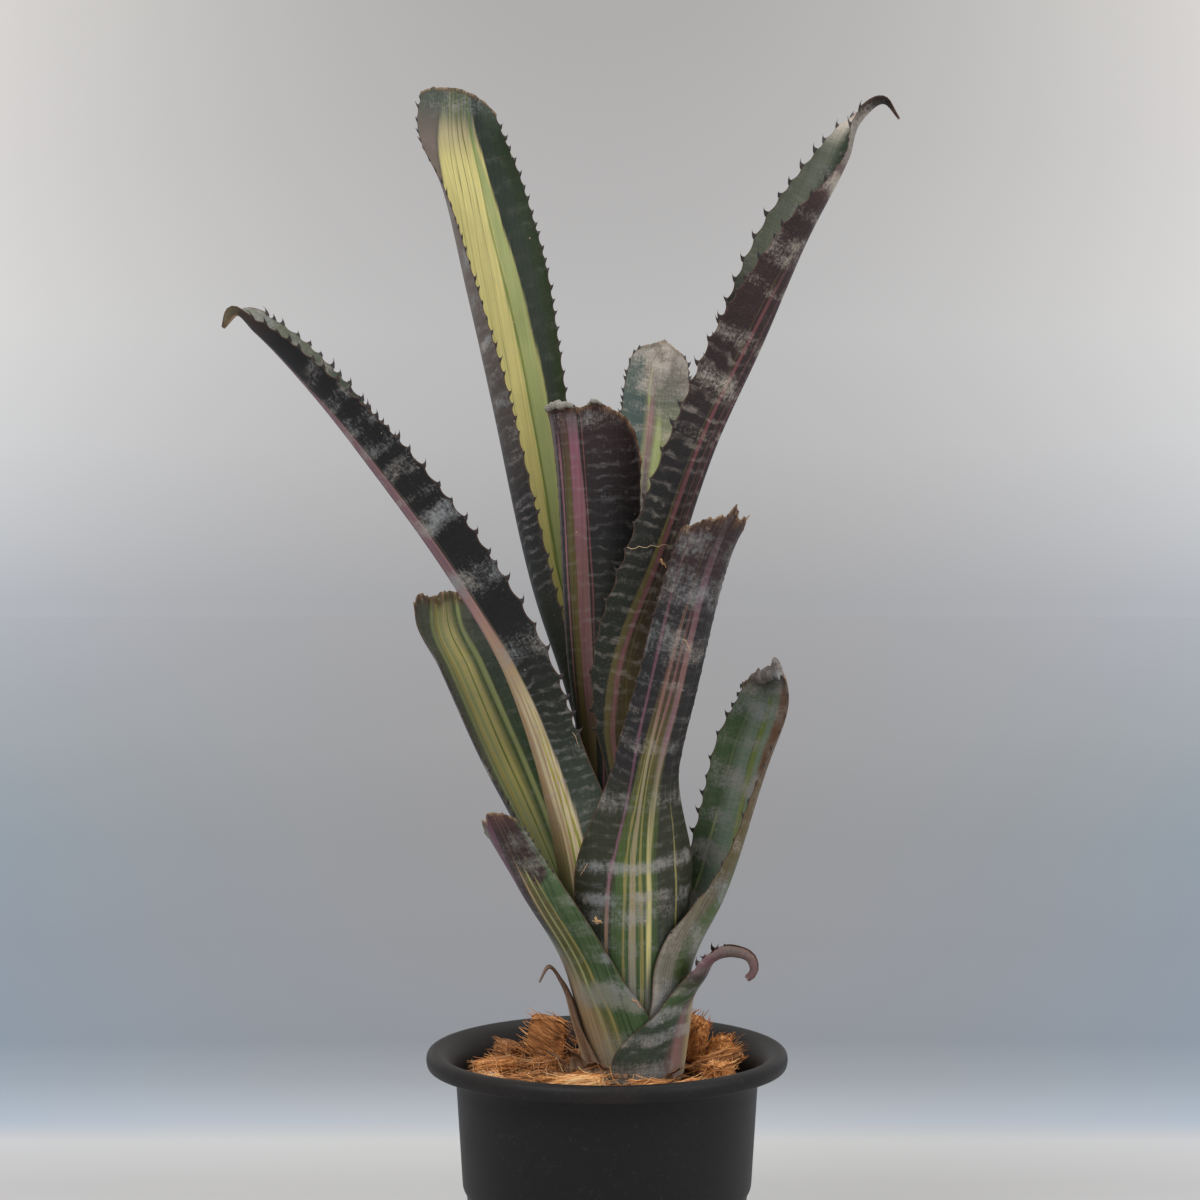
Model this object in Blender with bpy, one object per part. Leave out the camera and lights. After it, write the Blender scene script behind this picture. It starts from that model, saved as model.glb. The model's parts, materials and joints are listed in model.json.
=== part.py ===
"""Aechmea, a potted bromeliad: a rosette of eleven strap leaves on a short stem,
in a black nursery pot filled with growing medium and topped with coconut husk chips.

The object stands on Z = 0 with the pot's axis on the origin, +Z up. The rosette grows
a little to the +X side and leans back to -X. Dimensions below are in millimetres and
every mesh is built in metres.
"""
import math
import random

import bmesh
import bpy
import numpy as np
from mathutils import Matrix, Vector

MM = 0.001
GAP = 0.3  # clearance between pieces that touch

# Pot
POT_HEIGHT = 125.0
POT_FOOT_RADIUS = 54.0
POT_WALL = 1.6
POT_FLOOR = 2.2
POT_SIDES = 40
STEP_HEIGHT = 67.0  # the wall steps in below this height, so that pots nest
STEP_DEPTH = 1.5
LIP_RADIUS = 75.0
LIP_DROP = 7.0  # height of the turned-down lip
NECK_RADIUS = 62.6  # outside of the wall where the lip begins to flare
DRAIN_HOLES = 8
DRAIN_RADIUS = 2.7
DRAIN_RING = 38.0

# Growing medium and husk chips
MEDIUM_TOP = 109.0
CHIP_SEED = 11
CHIP_ROUGHNESS = 0.16
# x, y, length, width, height, turn, tilt of each chip, lying on the medium
CHIPS = [
    (-47, 8, 23, 13, 11, 6, 4),
    (-43, 28, 16, 12, 14, 140, 12),
    (-26, 36, 22, 9, 24, 160, 8),
    (-5, 45, 19, 12, 12, 8, 0),
    (17, 46, 19, 12, 13, -14, 8),
    (37, 36, 16, 12, 25, -45, -10),
    (49, 21, 15, 12, 18, -65, 10),
    (47, 4, 27, 10, 11, -4, 20),
    (46, -16, 20, 14, 15, 66, -5),
    (35, -35, 17, 13, 11, 42, 5),
    (17, -46, 19, 12, 14, 15, 0),
    (-11, -45, 25, 14, 16, -8, 5),
    (-33, -35, 18, 12, 13, -38, 0),
    (-47, -16, 22, 13, 9, -72, 5),
    (-28, -8, 20, 12, 9, 30, 0),
    (-27, 13, 16, 11, 10, -20, 5),
    (-22, -24, 17, 11, 10, -35, 8),
    (-4, -31, 16, 11, 9, -12, 0),
    (16, -32, 15, 10, 9, 6, 0),
    (-8, 28, 16, 11, 11, 25, 0),
    (13, 31, 16, 11, 12, -5, 0),
]

# Rosette: the leaf bases are concentric shells round one leaning axis
ROSETTE_FOOT = Vector((13.0, 0.0, 112.0))
ROSETTE_LEAN = 4.0  # degrees towards -X
SHELL_PITCH = 1.7  # radial step from one leaf base to the next
VASE_HEIGHTS = (0, 30, 60, 93, 128, 160)  # along the axis
VASE_RADII = (3, 9.3, 15.4, 20.5, 12, 11)  # of the innermost shell at those heights
STEM_FOOT_RADIUS = 20.0
STEM_TAPER = 0.677  # loss of radius for each unit of height
STEM_BURIED = 26.0
STEM_STUB_RADIUS = 14.0  # of the part below the leaves
STEM_STUB_TOP = -12.0
STEM_SIDES = 36
FOOT_WRAP = 100.0  # half the arc that a leaf's foot covers
LEAF_THICKNESS = 1.0
TIP_THICKNESS = 0.6
LEAF_ACROSS = 10  # faces across a leaf
SHEATH_STEP = 8.5  # length of a face along the leaf in the base
BLADE_STEP = 17.0  # and on the blade
SHEATH_RUN_ON = 20.0  # how far the short faces go on past the base
STATION_STEP = 12.0  # between the base's own stations
TANGENT_STEP = 0.5  # each side of a point, to find the midrib's direction
TURN_LENGTH = 45.0  # over which the sections turn from the axis to the blade
KEEL_LENGTH = 60.0  # over which the keel sharpens above the base

# rank: place in the rosette, 0 innermost. way: compass direction of the base, degrees
# from +X. leaves_at: height on the axis where the blade leaves the rosette. wrap: half
# the arc that the base covers, at its foot and where it leaves. ease: how long the base
# keeps its wrap. keel: 1 is a round channel, less is a sharper fold. blade: x, y, z of
# the midrib, the way its back faces, its width laid flat, and its channel's whole bend.
LEAVES = {
    "leaf_small_back": dict(
        rank=0, way=85, leaves_at=128, wrap=(FOOT_WRAP, 55), ease=1.0, keel=1.0,
        blade=[
            (11, 17, 277, 85, 31, 110),
            (15, 20, 311, 85, 36, 115),
            (18, 26, 354, 85, 36, 110),
            (21, 32, 388, 88, 34, 90),
            (23, 36, 413, 90, 28, 80),
            (25, 38, 424, 90, 8, 70),
        ],
    ),
    "leaf_tall_left": dict(
        rank=1, way=137, leaves_at=128, wrap=(FOOT_WRAP, 88), ease=1.0, keel=1.0,
        blade=[
            (-15, 18, 273, 150, 50, 185),
            (-28.5, 28, 315, 148, 57, 191),
            (-43, 40, 385, 144, 63.5, 186),
            (-53.5, 50, 443, 135, 65, 165),
            (-61.5, 56, 488, 127, 56, 131),
            (-67, 59, 519, 111, 43, 80),
            (-67, 60, 538, 100, 30, 40),
        ],
    ),
    "leaf_centre_torn": dict(
        rank=2, way=-110, leaves_at=128, wrap=(FOOT_WRAP, 67), ease=1.0, keel=1.0,
        blade=[
            (-4, -15.5, 282, -106, 36, 126),
            (-5.5, -18, 327, -106, 40, 118),
            (-6.5, -20, 364, -105, 42.5, 110),
            (-8, -21, 392, -102, 42, 95),
        ],
    ),
    "leaf_tall_right": dict(
        rank=3, way=-42, leaves_at=128, wrap=(FOOT_WRAP, 62), ease=1.0, keel=0.6,
        blade=[
            (15, -20, 278, -38, 48, 150),
            (28, -30, 327, -21, 50.5, 142),
            (42.5, -38, 371, -12, 48.5, 151),
            (62, -44, 414, -1, 54, 165),
            (78, -50, 452, 17, 45, 158),
            (93, -54, 483, 28, 29.5, 117),
            (99, -56, 498, 10, 18, 100),
            (108, -56, 505, -10, 8, 70),
            (114, -55, 499, -20, 2, 40),
        ],
    ),
    "leaf_long_left": dict(
        rank=4, way=-157, leaves_at=92, wrap=(FOOT_WRAP, 72), ease=1.0, keel=0.6,
        blade=[
            (-31, -15, 252, -160, 48, 145),
            (-42, -24, 283, -163, 48.5, 152),
            (-63, -34, 319.7, -165, 48.5, 155),
            (-91, -44, 359.7, -172, 46.5, 151),
            (-116, -48, 392, -185, 38, 141),
            (-138, -50, 416, -200, 26.5, 112),
            (-146, -50, 423, -204, 12, 80),
            (-151, -49, 418, -204, 3, 40),
        ],
    ),
    "leaf_front_torn": dict(
        rank=5, way=-72, leaves_at=92, wrap=(FOOT_WRAP, 60), ease=1.0, keel=1.0,
        blade=[
            (18, -39, 243, -72, 35, 130),
            (26, -46, 275, -70, 34, 130),
            (35, -49, 309, -66, 33, 120),
            (43, -51, 333, -62, 31, 105),
            (50, -52, 349, -60, 26, 90),
        ],
    ),
    "leaf_left_broad": dict(
        rank=6, way=160, leaves_at=60, wrap=(FOOT_WRAP, 70), ease=1.0, keel=1.0,
        blade=[
            (-31.5, 14, 212, 150, 50, 110),
            (-46, 18, 243, 142, 51.5, 116),
            (-63, 22, 281, 136, 49.5, 111),
            (-71.5, 24, 300, 130, 42, 100),
            (-72, 24, 315, 125, 30, 90),
        ],
    ),
    "leaf_right_upright": dict(
        rank=7, way=12, leaves_at=32, wrap=(FOOT_WRAP, 84), ease=1.0, keel=1.0,
        blade=[
            (36, 3, 162, 4, 64, 150),
            (48, 6, 188, 17, 50, 145),
            (56, 9, 216, 34, 42, 148),
            (63.5, 12, 244, 37, 44, 132),
            (71, 13, 269, 39, 36.5, 118),
            (70.5, 13, 285, 40, 24, 90),
        ],
    ),
    "leaf_low_left": dict(
        rank=8, way=-160, leaves_at=46, wrap=(104, 62), ease=1.6, keel=1.0,
        blade=[
            (-34, -20, 193, -152, 42, 110),
            (-43, -25, 212, -142, 32, 90),
            (-48, -26, 225, -135, 20, 70),
        ],
    ),
    "leaf_low_right": dict(
        rank=9, way=-30, leaves_at=32, wrap=(FOOT_WRAP, 35), ease=1.6, keel=1.0,
        blade=[
            (40, -14, 157, -25, 22, 90),
            (44, -18, 165, -20, 12, 120),
            (53, -24, 166, -20, 8, 120),
            (58, -26, 163, -20, 4, 90),
        ],
    ),
    "leaf_dried_stub": dict(
        rank=10, way=-180, leaves_at=26, wrap=(57, 28), ease=1.0, keel=1.0,
        blade=[
            (-19, -3, 152, -175, 12, 50),
            (-24, -5, 159, -172, 6, 50),
            (-28, -6, 153, -172, 2, 40),
        ],
    ),
}

# name: colour, roughness, metallic
FINISHES = {
    "pot_plastic": ((0.018, 0.018, 0.019), 0.45, 0.0),
    "peat": ((0.035, 0.022, 0.014), 0.95, 0.0),
    "husk": ((0.42, 0.20, 0.08), 0.9, 0.0),
    "stem_tissue": ((0.30, 0.24, 0.14), 0.8, 0.0),
    "leaf_green": ((0.05, 0.08, 0.045), 0.5, 0.0),
    "leaf_purple": ((0.035, 0.028, 0.032), 0.5, 0.0),
    "leaf_dry": ((0.33, 0.22, 0.14), 0.85, 0.0),
}
LEAF_FINISH = {
    "leaf_small_back": "leaf_green",
    "leaf_tall_left": "leaf_green",
    "leaf_left_broad": "leaf_green",
    "leaf_right_upright": "leaf_green",
    "leaf_low_left": "leaf_green",
    "leaf_low_right": "leaf_green",
    "leaf_dried_stub": "leaf_dry",
}


# ---------------------------------------------------------------- helpers

def clear_scene():
    for obj in list(bpy.data.objects):
        bpy.data.objects.remove(obj, do_unlink=True)


def finish(name):
    """The named Principled material, made once."""
    if name in bpy.data.materials:
        return bpy.data.materials[name]
    colour, roughness, metallic = FINISHES[name]
    material = bpy.data.materials.new(name)
    material.use_nodes = True
    shader = material.node_tree.nodes["Principled BSDF"]
    shader.inputs["Base Color"].default_value = (*colour, 1.0)
    shader.inputs["Roughness"].default_value = roughness
    shader.inputs["Metallic"].default_value = metallic
    return material


def add_object(name, bm, material, smooth_angle=None):
    """Turn a bmesh in millimetres into an object in metres."""
    bmesh.ops.scale(bm, vec=(MM, MM, MM), verts=bm.verts)
    bmesh.ops.recalc_face_normals(bm, faces=bm.faces)
    mesh = bpy.data.meshes.new(name)
    bm.to_mesh(mesh)
    bm.free()
    mesh.materials.append(finish(material))
    if smooth_angle is not None:
        mesh.shade_smooth()
        mesh.set_sharp_from_angle(angle=math.radians(smooth_angle))
    obj = bpy.data.objects.new(name, mesh)
    bpy.context.scene.collection.objects.link(obj)
    return obj


def monotone(xs, ys, x):
    """Value at x of a smooth curve through the points that never overshoots them."""
    steps = [b - a for a, b in zip(xs, xs[1:])]
    slopes = [(b - a) / s for a, b, s in zip(ys, ys[1:], steps)]
    tangents = [slopes[0]]
    for before, after in zip(slopes, slopes[1:]):
        turning = before * after <= 0
        tangents.append(0.0 if turning else 2 * before * after / (before + after))
    tangents.append(slopes[-1])
    i = min(max(int(np.searchsorted(xs, x)) - 1, 0), len(steps) - 1)
    t = (x - xs[i]) / steps[i]
    return (
        (1 + 2 * t) * (1 - t) ** 2 * ys[i]
        + t * (1 - t) ** 2 * steps[i] * tangents[i]
        + t * t * (3 - 2 * t) * ys[i + 1]
        - t * t * (1 - t) * steps[i] * tangents[i + 1]
    )


def ease_in_out(x):
    x = min(max(x, 0.0), 1.0)
    return x * x * (3 - 2 * x)


# ---------------------------------------------------------------- lathe work

def lathe(profile, sides, axis_foot=Vector((0, 0, 0)), lean=0.0):
    """A closed solid from a profile of (radius, height) points, both ends on the axis."""
    bm = bmesh.new()
    tilt = Matrix.Rotation(math.radians(-lean), 4, "Y")
    place = Matrix.Translation(axis_foot) @ tilt
    rings = []
    for radius, height in profile:
        if radius == 0:
            rings.append([bm.verts.new(place @ Vector((0, 0, height)))])
            continue
        ring = []
        for i in range(sides):
            angle = 2 * math.pi * i / sides
            point = Vector((radius * math.cos(angle), radius * math.sin(angle), height))
            ring.append(bm.verts.new(place @ point))
        rings.append(ring)
    for low, high in zip(rings, rings[1:]):
        for i in range(sides):
            corners = [low[i % len(low)], low[(i + 1) % len(low)]]
            corners += [high[(i + 1) % len(high)], high[i % len(high)]]
            bm.faces.new(list(dict.fromkeys(corners)))
    return bm


def wall_radius(height):
    """Outside radius of the pot's wall, which steps in below STEP_HEIGHT."""
    flare_foot = POT_HEIGHT - 13.0
    full = POT_FOOT_RADIUS + STEP_DEPTH
    radius = full + (NECK_RADIUS - full) * height / flare_foot
    return radius if height > STEP_HEIGHT else radius - STEP_DEPTH


def pot_profile():
    top = POT_HEIGHT
    lip = LIP_RADIUS
    neck = NECK_RADIUS
    outside = [
        (0, 0),
        (wall_radius(0) - 1.5, 0),
        (wall_radius(0) - 0.4, 0.5),
        (wall_radius(0), 1.6),
        (wall_radius(STEP_HEIGHT - 1), STEP_HEIGHT - 1),
        (wall_radius(STEP_HEIGHT + 1), STEP_HEIGHT + 1),
        (neck, top - 13),
        (neck + 1.8, top - 8),
        (neck + 4.8, top - 4.9),
        (neck + 8.2, top - 3.4),
        (lip - 2.4, top - 4.2),
        (lip - 2.1, top - LIP_DROP),
    ]
    edge = [
        (lip - 0.7, top - LIP_DROP),
        (lip, top - 4.6),
        (lip - 0.2, top - 1.9),
        (lip - 1.4, top - 0.4),
        (lip - 3.4, top),
    ]
    inside = [
        (neck + 6.6, top - 0.8),
        (neck + 3.9, top - 2.8),
        (neck + 1.3, top - 6.4),
        (neck - 0.7, top - 11.5),
        (wall_radius(STEP_HEIGHT + 1) - POT_WALL, STEP_HEIGHT + 0.6),
        (wall_radius(STEP_HEIGHT - 1) - POT_WALL, STEP_HEIGHT - 1.4),
        (wall_radius(0) - POT_WALL, POT_FLOOR + 1.5),
        (wall_radius(0) - POT_WALL - 1.5, POT_FLOOR),
        (0, POT_FLOOR),
    ]
    return outside + edge + inside


def cut(obj, cutter):
    """Cut one object with another, which is then only a guide."""
    cutter.hide_render = True
    cutter.display_type = "WIRE"
    modifier = obj.modifiers.new("cut_" + cutter.name, "BOOLEAN")
    modifier.operation = "DIFFERENCE"
    modifier.object = cutter


def make_pot():
    pot = add_object("pot", lathe(pot_profile(), POT_SIDES), "pot_plastic", 50)
    drills = bmesh.new()
    for i in range(DRAIN_HOLES):
        angle = 2 * math.pi * (i + 0.5) / DRAIN_HOLES
        centre = Vector((math.cos(angle), math.sin(angle), 0)) * DRAIN_RING
        bmesh.ops.create_cone(
            drills, cap_ends=True, segments=10,
            radius1=DRAIN_RADIUS, radius2=DRAIN_RADIUS, depth=4 * POT_FLOOR,
            matrix=Matrix.Translation(centre),
        )
    cut(pot, add_object("drain_drills", drills, "pot_plastic"))
    return pot


def stem_profile(grow=0.0):
    """The stem's profile: a buried stub, a flare, and a cone that the leaves sit on.

    The flat middles of the leaves' faces come nearer to the axis than their corners.
    """
    half_face = math.radians(FOOT_WRAP / LEAF_ACROSS)

    def cone(height):
        seat = STEM_FOOT_RADIUS - STEM_TAPER * height - LEAF_THICKNESS / 2
        return seat * math.cos(half_face) - GAP

    top = leaf_foot_height(0)
    points = [
        (0, -STEM_BURIED),
        (STEM_STUB_RADIUS - 3, -STEM_BURIED),
        (STEM_STUB_RADIUS - 1, -STEM_BURIED + 3),
        (STEM_STUB_RADIUS, STEM_STUB_TOP),
        (cone(0) - 1.5, -4),
        (cone(0), 0),
        (cone(top), top),
        (cone(top) * 0.6, top + 3.5),
        (0, top + 5),
    ]
    if grow:
        points = [(r + grow if r else 0, h - grow if h < 0 else h) for r, h in points]
    return points


def make_stem():
    bm = lathe(stem_profile(), STEM_SIDES, ROSETTE_FOOT, ROSETTE_LEAN)
    return add_object("stem", bm, "stem_tissue", 40)


def make_medium():
    """Fills the pot up to MEDIUM_TOP, with a pit for the stem."""
    inset = POT_WALL + GAP
    top_radius = wall_radius(MEDIUM_TOP) - inset
    profile = [
        (0, POT_FLOOR + GAP),
        (wall_radius(0) - inset - 1.8, POT_FLOOR + GAP),
        (wall_radius(0) - inset - 0.2, POT_FLOOR + GAP + 1.8),
        (wall_radius(STEP_HEIGHT - 1) - inset, STEP_HEIGHT - 1.4),
        (wall_radius(STEP_HEIGHT + 1) - inset, STEP_HEIGHT + 0.9),
        (top_radius, MEDIUM_TOP - 1.0),
        (top_radius - 1.0, MEDIUM_TOP),
        (0, MEDIUM_TOP),
    ]
    medium = add_object("growing_medium", lathe(profile, POT_SIDES), "peat", 40)
    pit = lathe(stem_profile(grow=GAP), STEM_SIDES, ROSETTE_FOOT, ROSETTE_LEAN)
    cut(medium, add_object("stem_pit", pit, "peat"))
    return medium


# ---------------------------------------------------------------- husk chips

def make_chip(number, chip, rng):
    """An irregular block: the hull of a jittered box grid, laid on the medium."""
    x, y, length, width, height, turn, tilt = chip
    bm = bmesh.new()
    for i in (-1, -0.4, 0.4, 1):
        for j in (-1, 0, 1):
            for k in (-1, 0, 1):
                soft = 1 - 0.16 * (abs(i) > 0.5) * (abs(j) + abs(k)) / 2
                jitter = [1 - CHIP_ROUGHNESS * rng.random() for _ in range(3)]
                bm.verts.new((
                    i * jitter[0] * length / 2,
                    j * jitter[1] * soft * width / 2,
                    k * jitter[2] * soft * height / 2,
                ))
    hull = bmesh.ops.convex_hull(bm, input=bm.verts)
    spare = [v for v in hull["geom_interior"] if isinstance(v, bmesh.types.BMVert)]
    bmesh.ops.delete(bm, geom=spare, context="VERTS")
    turned = Matrix.Rotation(math.radians(turn), 3, "Z")
    tilted = Matrix.Rotation(math.radians(-tilt), 3, "Y")
    bmesh.ops.transform(bm, matrix=(turned @ tilted).to_4x4(), verts=bm.verts)
    low = min(v.co.z for v in bm.verts)
    lift = MEDIUM_TOP + GAP - low
    bmesh.ops.translate(bm, vec=(x, y, lift), verts=bm.verts)
    return add_object("husk_chip_%02d" % number, bm, "husk", 30)


# ---------------------------------------------------------------- leaves

AXIS = Matrix.Rotation(math.radians(-ROSETTE_LEAN), 3, "Y") @ Vector((0, 0, 1))


def shell_radius(rank, height):
    return monotone(VASE_HEIGHTS, VASE_RADII, height) + SHELL_PITCH * rank


def leaf_foot_height(rank):
    """Where the shell of this rank meets the stem's cone."""
    rise = (VASE_RADII[1] - VASE_RADII[0]) / VASE_HEIGHTS[1]
    clear = STEM_FOOT_RADIUS - VASE_RADII[0] - SHELL_PITCH * rank
    return clear / (STEM_TAPER + rise)


def compass(degrees):
    return Vector((math.cos(math.radians(degrees)), math.sin(math.radians(degrees)), 0))


def leaf_stations(leaf):
    """Rows of x, y, z, way, width, bend: the base by the shell's rule, then the blade."""
    foot = leaf_foot_height(leaf["rank"])
    top = leaf["leaves_at"]
    count = max(2, round((top - foot) / STATION_STEP))
    wide, narrow = leaf["wrap"]
    outward = compass(leaf["way"])
    outward = (outward - outward.dot(AXIS) * AXIS).normalized()
    rows = []
    for i in range(count + 1):
        part = i / count
        height = foot + (top - foot) * part
        half = wide + (narrow - wide) * part ** leaf["ease"]
        radius = shell_radius(leaf["rank"], height)
        point = ROSETTE_FOOT + AXIS * height + outward * radius
        rows.append((*point, leaf["way"], 2 * math.radians(half) * radius, 2 * half))
    return rows + list(leaf["blade"]), count


def path_point(knots, points, t):
    """Point at distance t on a smooth curve through the points."""
    def slope(j):
        if j == 0 or j == len(knots) - 1:
            a, b = (0, 1) if j == 0 else (j - 1, j)
            return (points[b] - points[a]) / (knots[b] - knots[a])
        before = knots[j] - knots[j - 1]
        after = knots[j + 1] - knots[j]
        into = (points[j] - points[j - 1]) / before
        out = (points[j + 1] - points[j]) / after
        return (into * after + out * before) / (before + after)
    i = min(max(int(np.searchsorted(knots, t)) - 1, 0), len(knots) - 2)
    step = knots[i + 1] - knots[i]
    s = (t - knots[i]) / step
    return (
        (1 + 2 * s) * (1 - s) ** 2 * points[i]
        + s * (1 - s) ** 2 * step * slope(i)
        + s * s * (3 - 2 * s) * points[i + 1]
        - s * s * (1 - s) * step * slope(i + 1)
    )


def section_offsets(width, bend, keel, samples=24):
    """Sideways and inward offsets of half a cross-section, from the midrib out."""
    across = (np.arange(samples) + 0.5) / samples
    angle = math.radians(bend) / 2 * across ** keel
    step = width / 2 / samples
    sideways = np.concatenate([[0], np.cumsum(np.cos(angle) * step)])
    inward = np.concatenate([[0], np.cumsum(np.sin(angle) * step)])
    places = np.linspace(0, 1, samples + 1)
    return lambda u: (
        math.copysign(np.interp(abs(u), places, sideways), u),
        np.interp(abs(u), places, inward),
    )


def leaf_grid(leaf):
    """Rows of points on the leaf's middle surface, foot to tip, and each row's place."""
    rows, last_base = leaf_stations(leaf)
    points = [Vector(row[:3]) for row in rows]
    knots = [0.0]
    for a, b in zip(points, points[1:]):
        knots.append(knots[-1] + (b - a).length)
    ways, widths, bends = ([row[k] for row in rows] for k in (3, 4, 5))
    total = knots[-1]
    base_end = knots[last_base]
    fine_end = min(base_end + SHEATH_RUN_ON, total * 0.8)
    fine = np.linspace(0, fine_end, math.ceil(fine_end / SHEATH_STEP) + 1)
    coarse_count = max(3, math.ceil((total - fine_end) / BLADE_STEP))
    coarse = np.linspace(fine_end, total, coarse_count + 1)[1:]
    distances = [float(t) for t in (*fine, *coarse)]
    grid = []
    for t in distances:
        ahead = path_point(knots, points, min(t + TANGENT_STEP, total))
        behind = path_point(knots, points, max(t - TANGENT_STEP, 0.0))
        tangent = (ahead - behind).normalized()
        turned = ease_in_out((t - base_end) / TURN_LENGTH)
        along = (AXIS * (1 - turned) + tangent * turned).normalized()
        side = compass(monotone(knots, ways, t) + 90)
        side = (side - side.dot(along) * along).normalized()
        outward = side.cross(along)
        sharp = ease_in_out((t - base_end) / KEEL_LENGTH)
        keel = 1 + (leaf["keel"] - 1) * sharp
        offsets = section_offsets(monotone(knots, widths, t), monotone(knots, bends, t), keel)
        centre = path_point(knots, points, t)
        line = []
        for i in range(LEAF_ACROSS + 1):
            sideways, inward = offsets(2 * i / LEAF_ACROSS - 1)
            line.append(centre + side * sideways - outward * inward)
        grid.append(line)
    return grid, [t / total for t in distances]


def make_leaf(name, leaf):
    """The middle surface thickened to both sides and closed round its edge."""
    grid, places = leaf_grid(leaf)
    middle = np.array(grid)
    normals = np.cross(np.gradient(middle, axis=1), np.gradient(middle, axis=0))
    normals /= np.linalg.norm(normals, axis=2, keepdims=True)
    depth = np.interp(places, [0, 0.3, 1], [LEAF_THICKNESS, LEAF_THICKNESS, TIP_THICKNESS])
    offset = normals * depth[:, None, None] / 2
    bm = bmesh.new()
    outer, inner = (
        [[bm.verts.new(point) for point in row] for row in sheet]
        for sheet in (middle + offset, middle - offset)
    )
    rows, columns = len(grid), LEAF_ACROSS + 1
    for j in range(rows - 1):
        for i in range(columns - 1):
            for sheet in (outer, inner):
                quad = [sheet[j][i], sheet[j][i + 1], sheet[j + 1][i + 1], sheet[j + 1][i]]
                bm.faces.new(quad)
    rim = [(0, i) for i in range(columns)] + [(j, columns - 1) for j in range(1, rows)]
    rim += [(rows - 1, i) for i in range(columns - 2, -1, -1)]
    rim += [(j, 0) for j in range(rows - 2, 0, -1)]
    for (j, i), (l, k) in zip(rim, rim[1:] + rim[:1]):
        bm.faces.new([outer[j][i], outer[l][k], inner[l][k], inner[j][i]])
    bmesh.ops.triangulate(bm, faces=bm.faces)
    return add_object(name, bm, LEAF_FINISH.get(name, "leaf_purple"), 60)


# ---------------------------------------------------------------- assembly

def main():
    clear_scene()
    make_pot()
    make_medium()
    make_stem()
    for name, leaf in LEAVES.items():
        make_leaf(name, leaf)
    rng = random.Random(CHIP_SEED)
    for number, chip in enumerate(CHIPS, start=1):
        make_chip(number, chip, rng)


main()
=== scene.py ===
"""The looks of the potted aechmea: leaves, pot, growing medium and husk chips.

Tables are in millimetres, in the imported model's own frame; meshes are made in metres.
Every leaf is described flat: u runs across it, -1 to +1 (+1 is the counter-clockwise
margin seen from above), and t runs along it from foot to tip. Its back is the outer
side and its face is the inner, upper side.
"""
import json
import math
import random

import bmesh
import bpy
import numpy as np
from mathutils import Matrix, Vector, noise
from mathutils.bvhtree import BVHTree

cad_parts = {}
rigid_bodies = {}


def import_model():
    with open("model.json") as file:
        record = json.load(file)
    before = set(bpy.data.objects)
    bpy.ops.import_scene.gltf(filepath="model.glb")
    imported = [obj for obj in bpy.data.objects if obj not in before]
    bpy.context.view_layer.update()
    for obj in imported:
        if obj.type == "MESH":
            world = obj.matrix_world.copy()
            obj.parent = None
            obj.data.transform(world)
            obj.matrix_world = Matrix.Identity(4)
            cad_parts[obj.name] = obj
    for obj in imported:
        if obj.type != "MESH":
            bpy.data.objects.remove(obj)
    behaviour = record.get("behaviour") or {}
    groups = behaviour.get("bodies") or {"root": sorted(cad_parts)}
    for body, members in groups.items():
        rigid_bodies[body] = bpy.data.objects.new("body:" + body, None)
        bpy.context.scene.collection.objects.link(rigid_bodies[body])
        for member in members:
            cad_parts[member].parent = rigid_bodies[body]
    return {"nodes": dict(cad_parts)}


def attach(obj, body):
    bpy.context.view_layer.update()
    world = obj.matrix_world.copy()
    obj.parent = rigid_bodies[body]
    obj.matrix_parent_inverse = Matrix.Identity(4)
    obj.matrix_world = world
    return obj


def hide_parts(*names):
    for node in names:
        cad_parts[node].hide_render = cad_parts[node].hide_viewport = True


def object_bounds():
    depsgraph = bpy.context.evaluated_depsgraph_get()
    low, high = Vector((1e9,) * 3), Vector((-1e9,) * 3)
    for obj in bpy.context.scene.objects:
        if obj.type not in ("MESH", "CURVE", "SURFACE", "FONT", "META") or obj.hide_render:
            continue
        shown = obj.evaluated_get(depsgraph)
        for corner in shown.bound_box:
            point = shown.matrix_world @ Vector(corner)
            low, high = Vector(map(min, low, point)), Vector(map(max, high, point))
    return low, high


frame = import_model()
cad_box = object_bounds()

MM = 0.001
FULL_TURN = 2 * math.pi
SKIN_UNIT = 100.0  # millimetres in one unit of the "skin", "edge", "grain" and "depth" coordinates
SEED = 5

# Leaf meshes
ROW_STEP = 1.2
COLUMNS = 48
FRAME_STEP = 0.5
BEND_SAMPLES = 20
BUNCH_LENGTH = 55.0  # least length in which the rows bend to the tip's outline
MIDRIB_THICKNESS = 1.1
MARGIN_THICKNESS = 0.45
CURL_LENGTH = 3.5
RIPPLE_START = 50.0  # distance past the base in which the ripples grow
ROLL_ROWS = 22
BOX_MARGIN = 0.02
BACK, FACE, THORN = 0, 1, 2  # places in a leaf's list of materials
SPINE_SIDES = 6
SPINE_STEPS = (0, 0.14, 0.32, 0.52, 0.72, 0.88, 1.0)
SPINE_SUNK = 0.5
SPINE_FROM_TIP = 0.6
WORN_SHARE, WORN_LENGTH = 0.18, 0.55
SCALLOP_SHARE, SCALLOP_MOST = 0.42, 1.5  # depth as a share of the spines' length
BAND_REACH, BAND_SQUARENESS = 1.1, 2.6

# Rosette, as the CAD has it
ROSETTE_FOOT = np.array([13.0, 0.0, 112.0])
ROSETTE_LEAN = math.radians(4.0)
AXIS = np.array([-math.sin(ROSETTE_LEAN), 0.0, math.cos(ROSETTE_LEAN)])
SHELL_PITCH = 1.7
VASE_HEIGHTS = (0, 30, 60, 93, 128, 160)
VASE_RADII = (3, 9.3, 15.4, 20.5, 12, 11)
STEM_FOOT_RADIUS = 20.0
STEM_TAPER = 0.677
STATION_STEP = 12.0
TURN_LENGTH = 45.0
KEEL_LENGTH = 60.0

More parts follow.
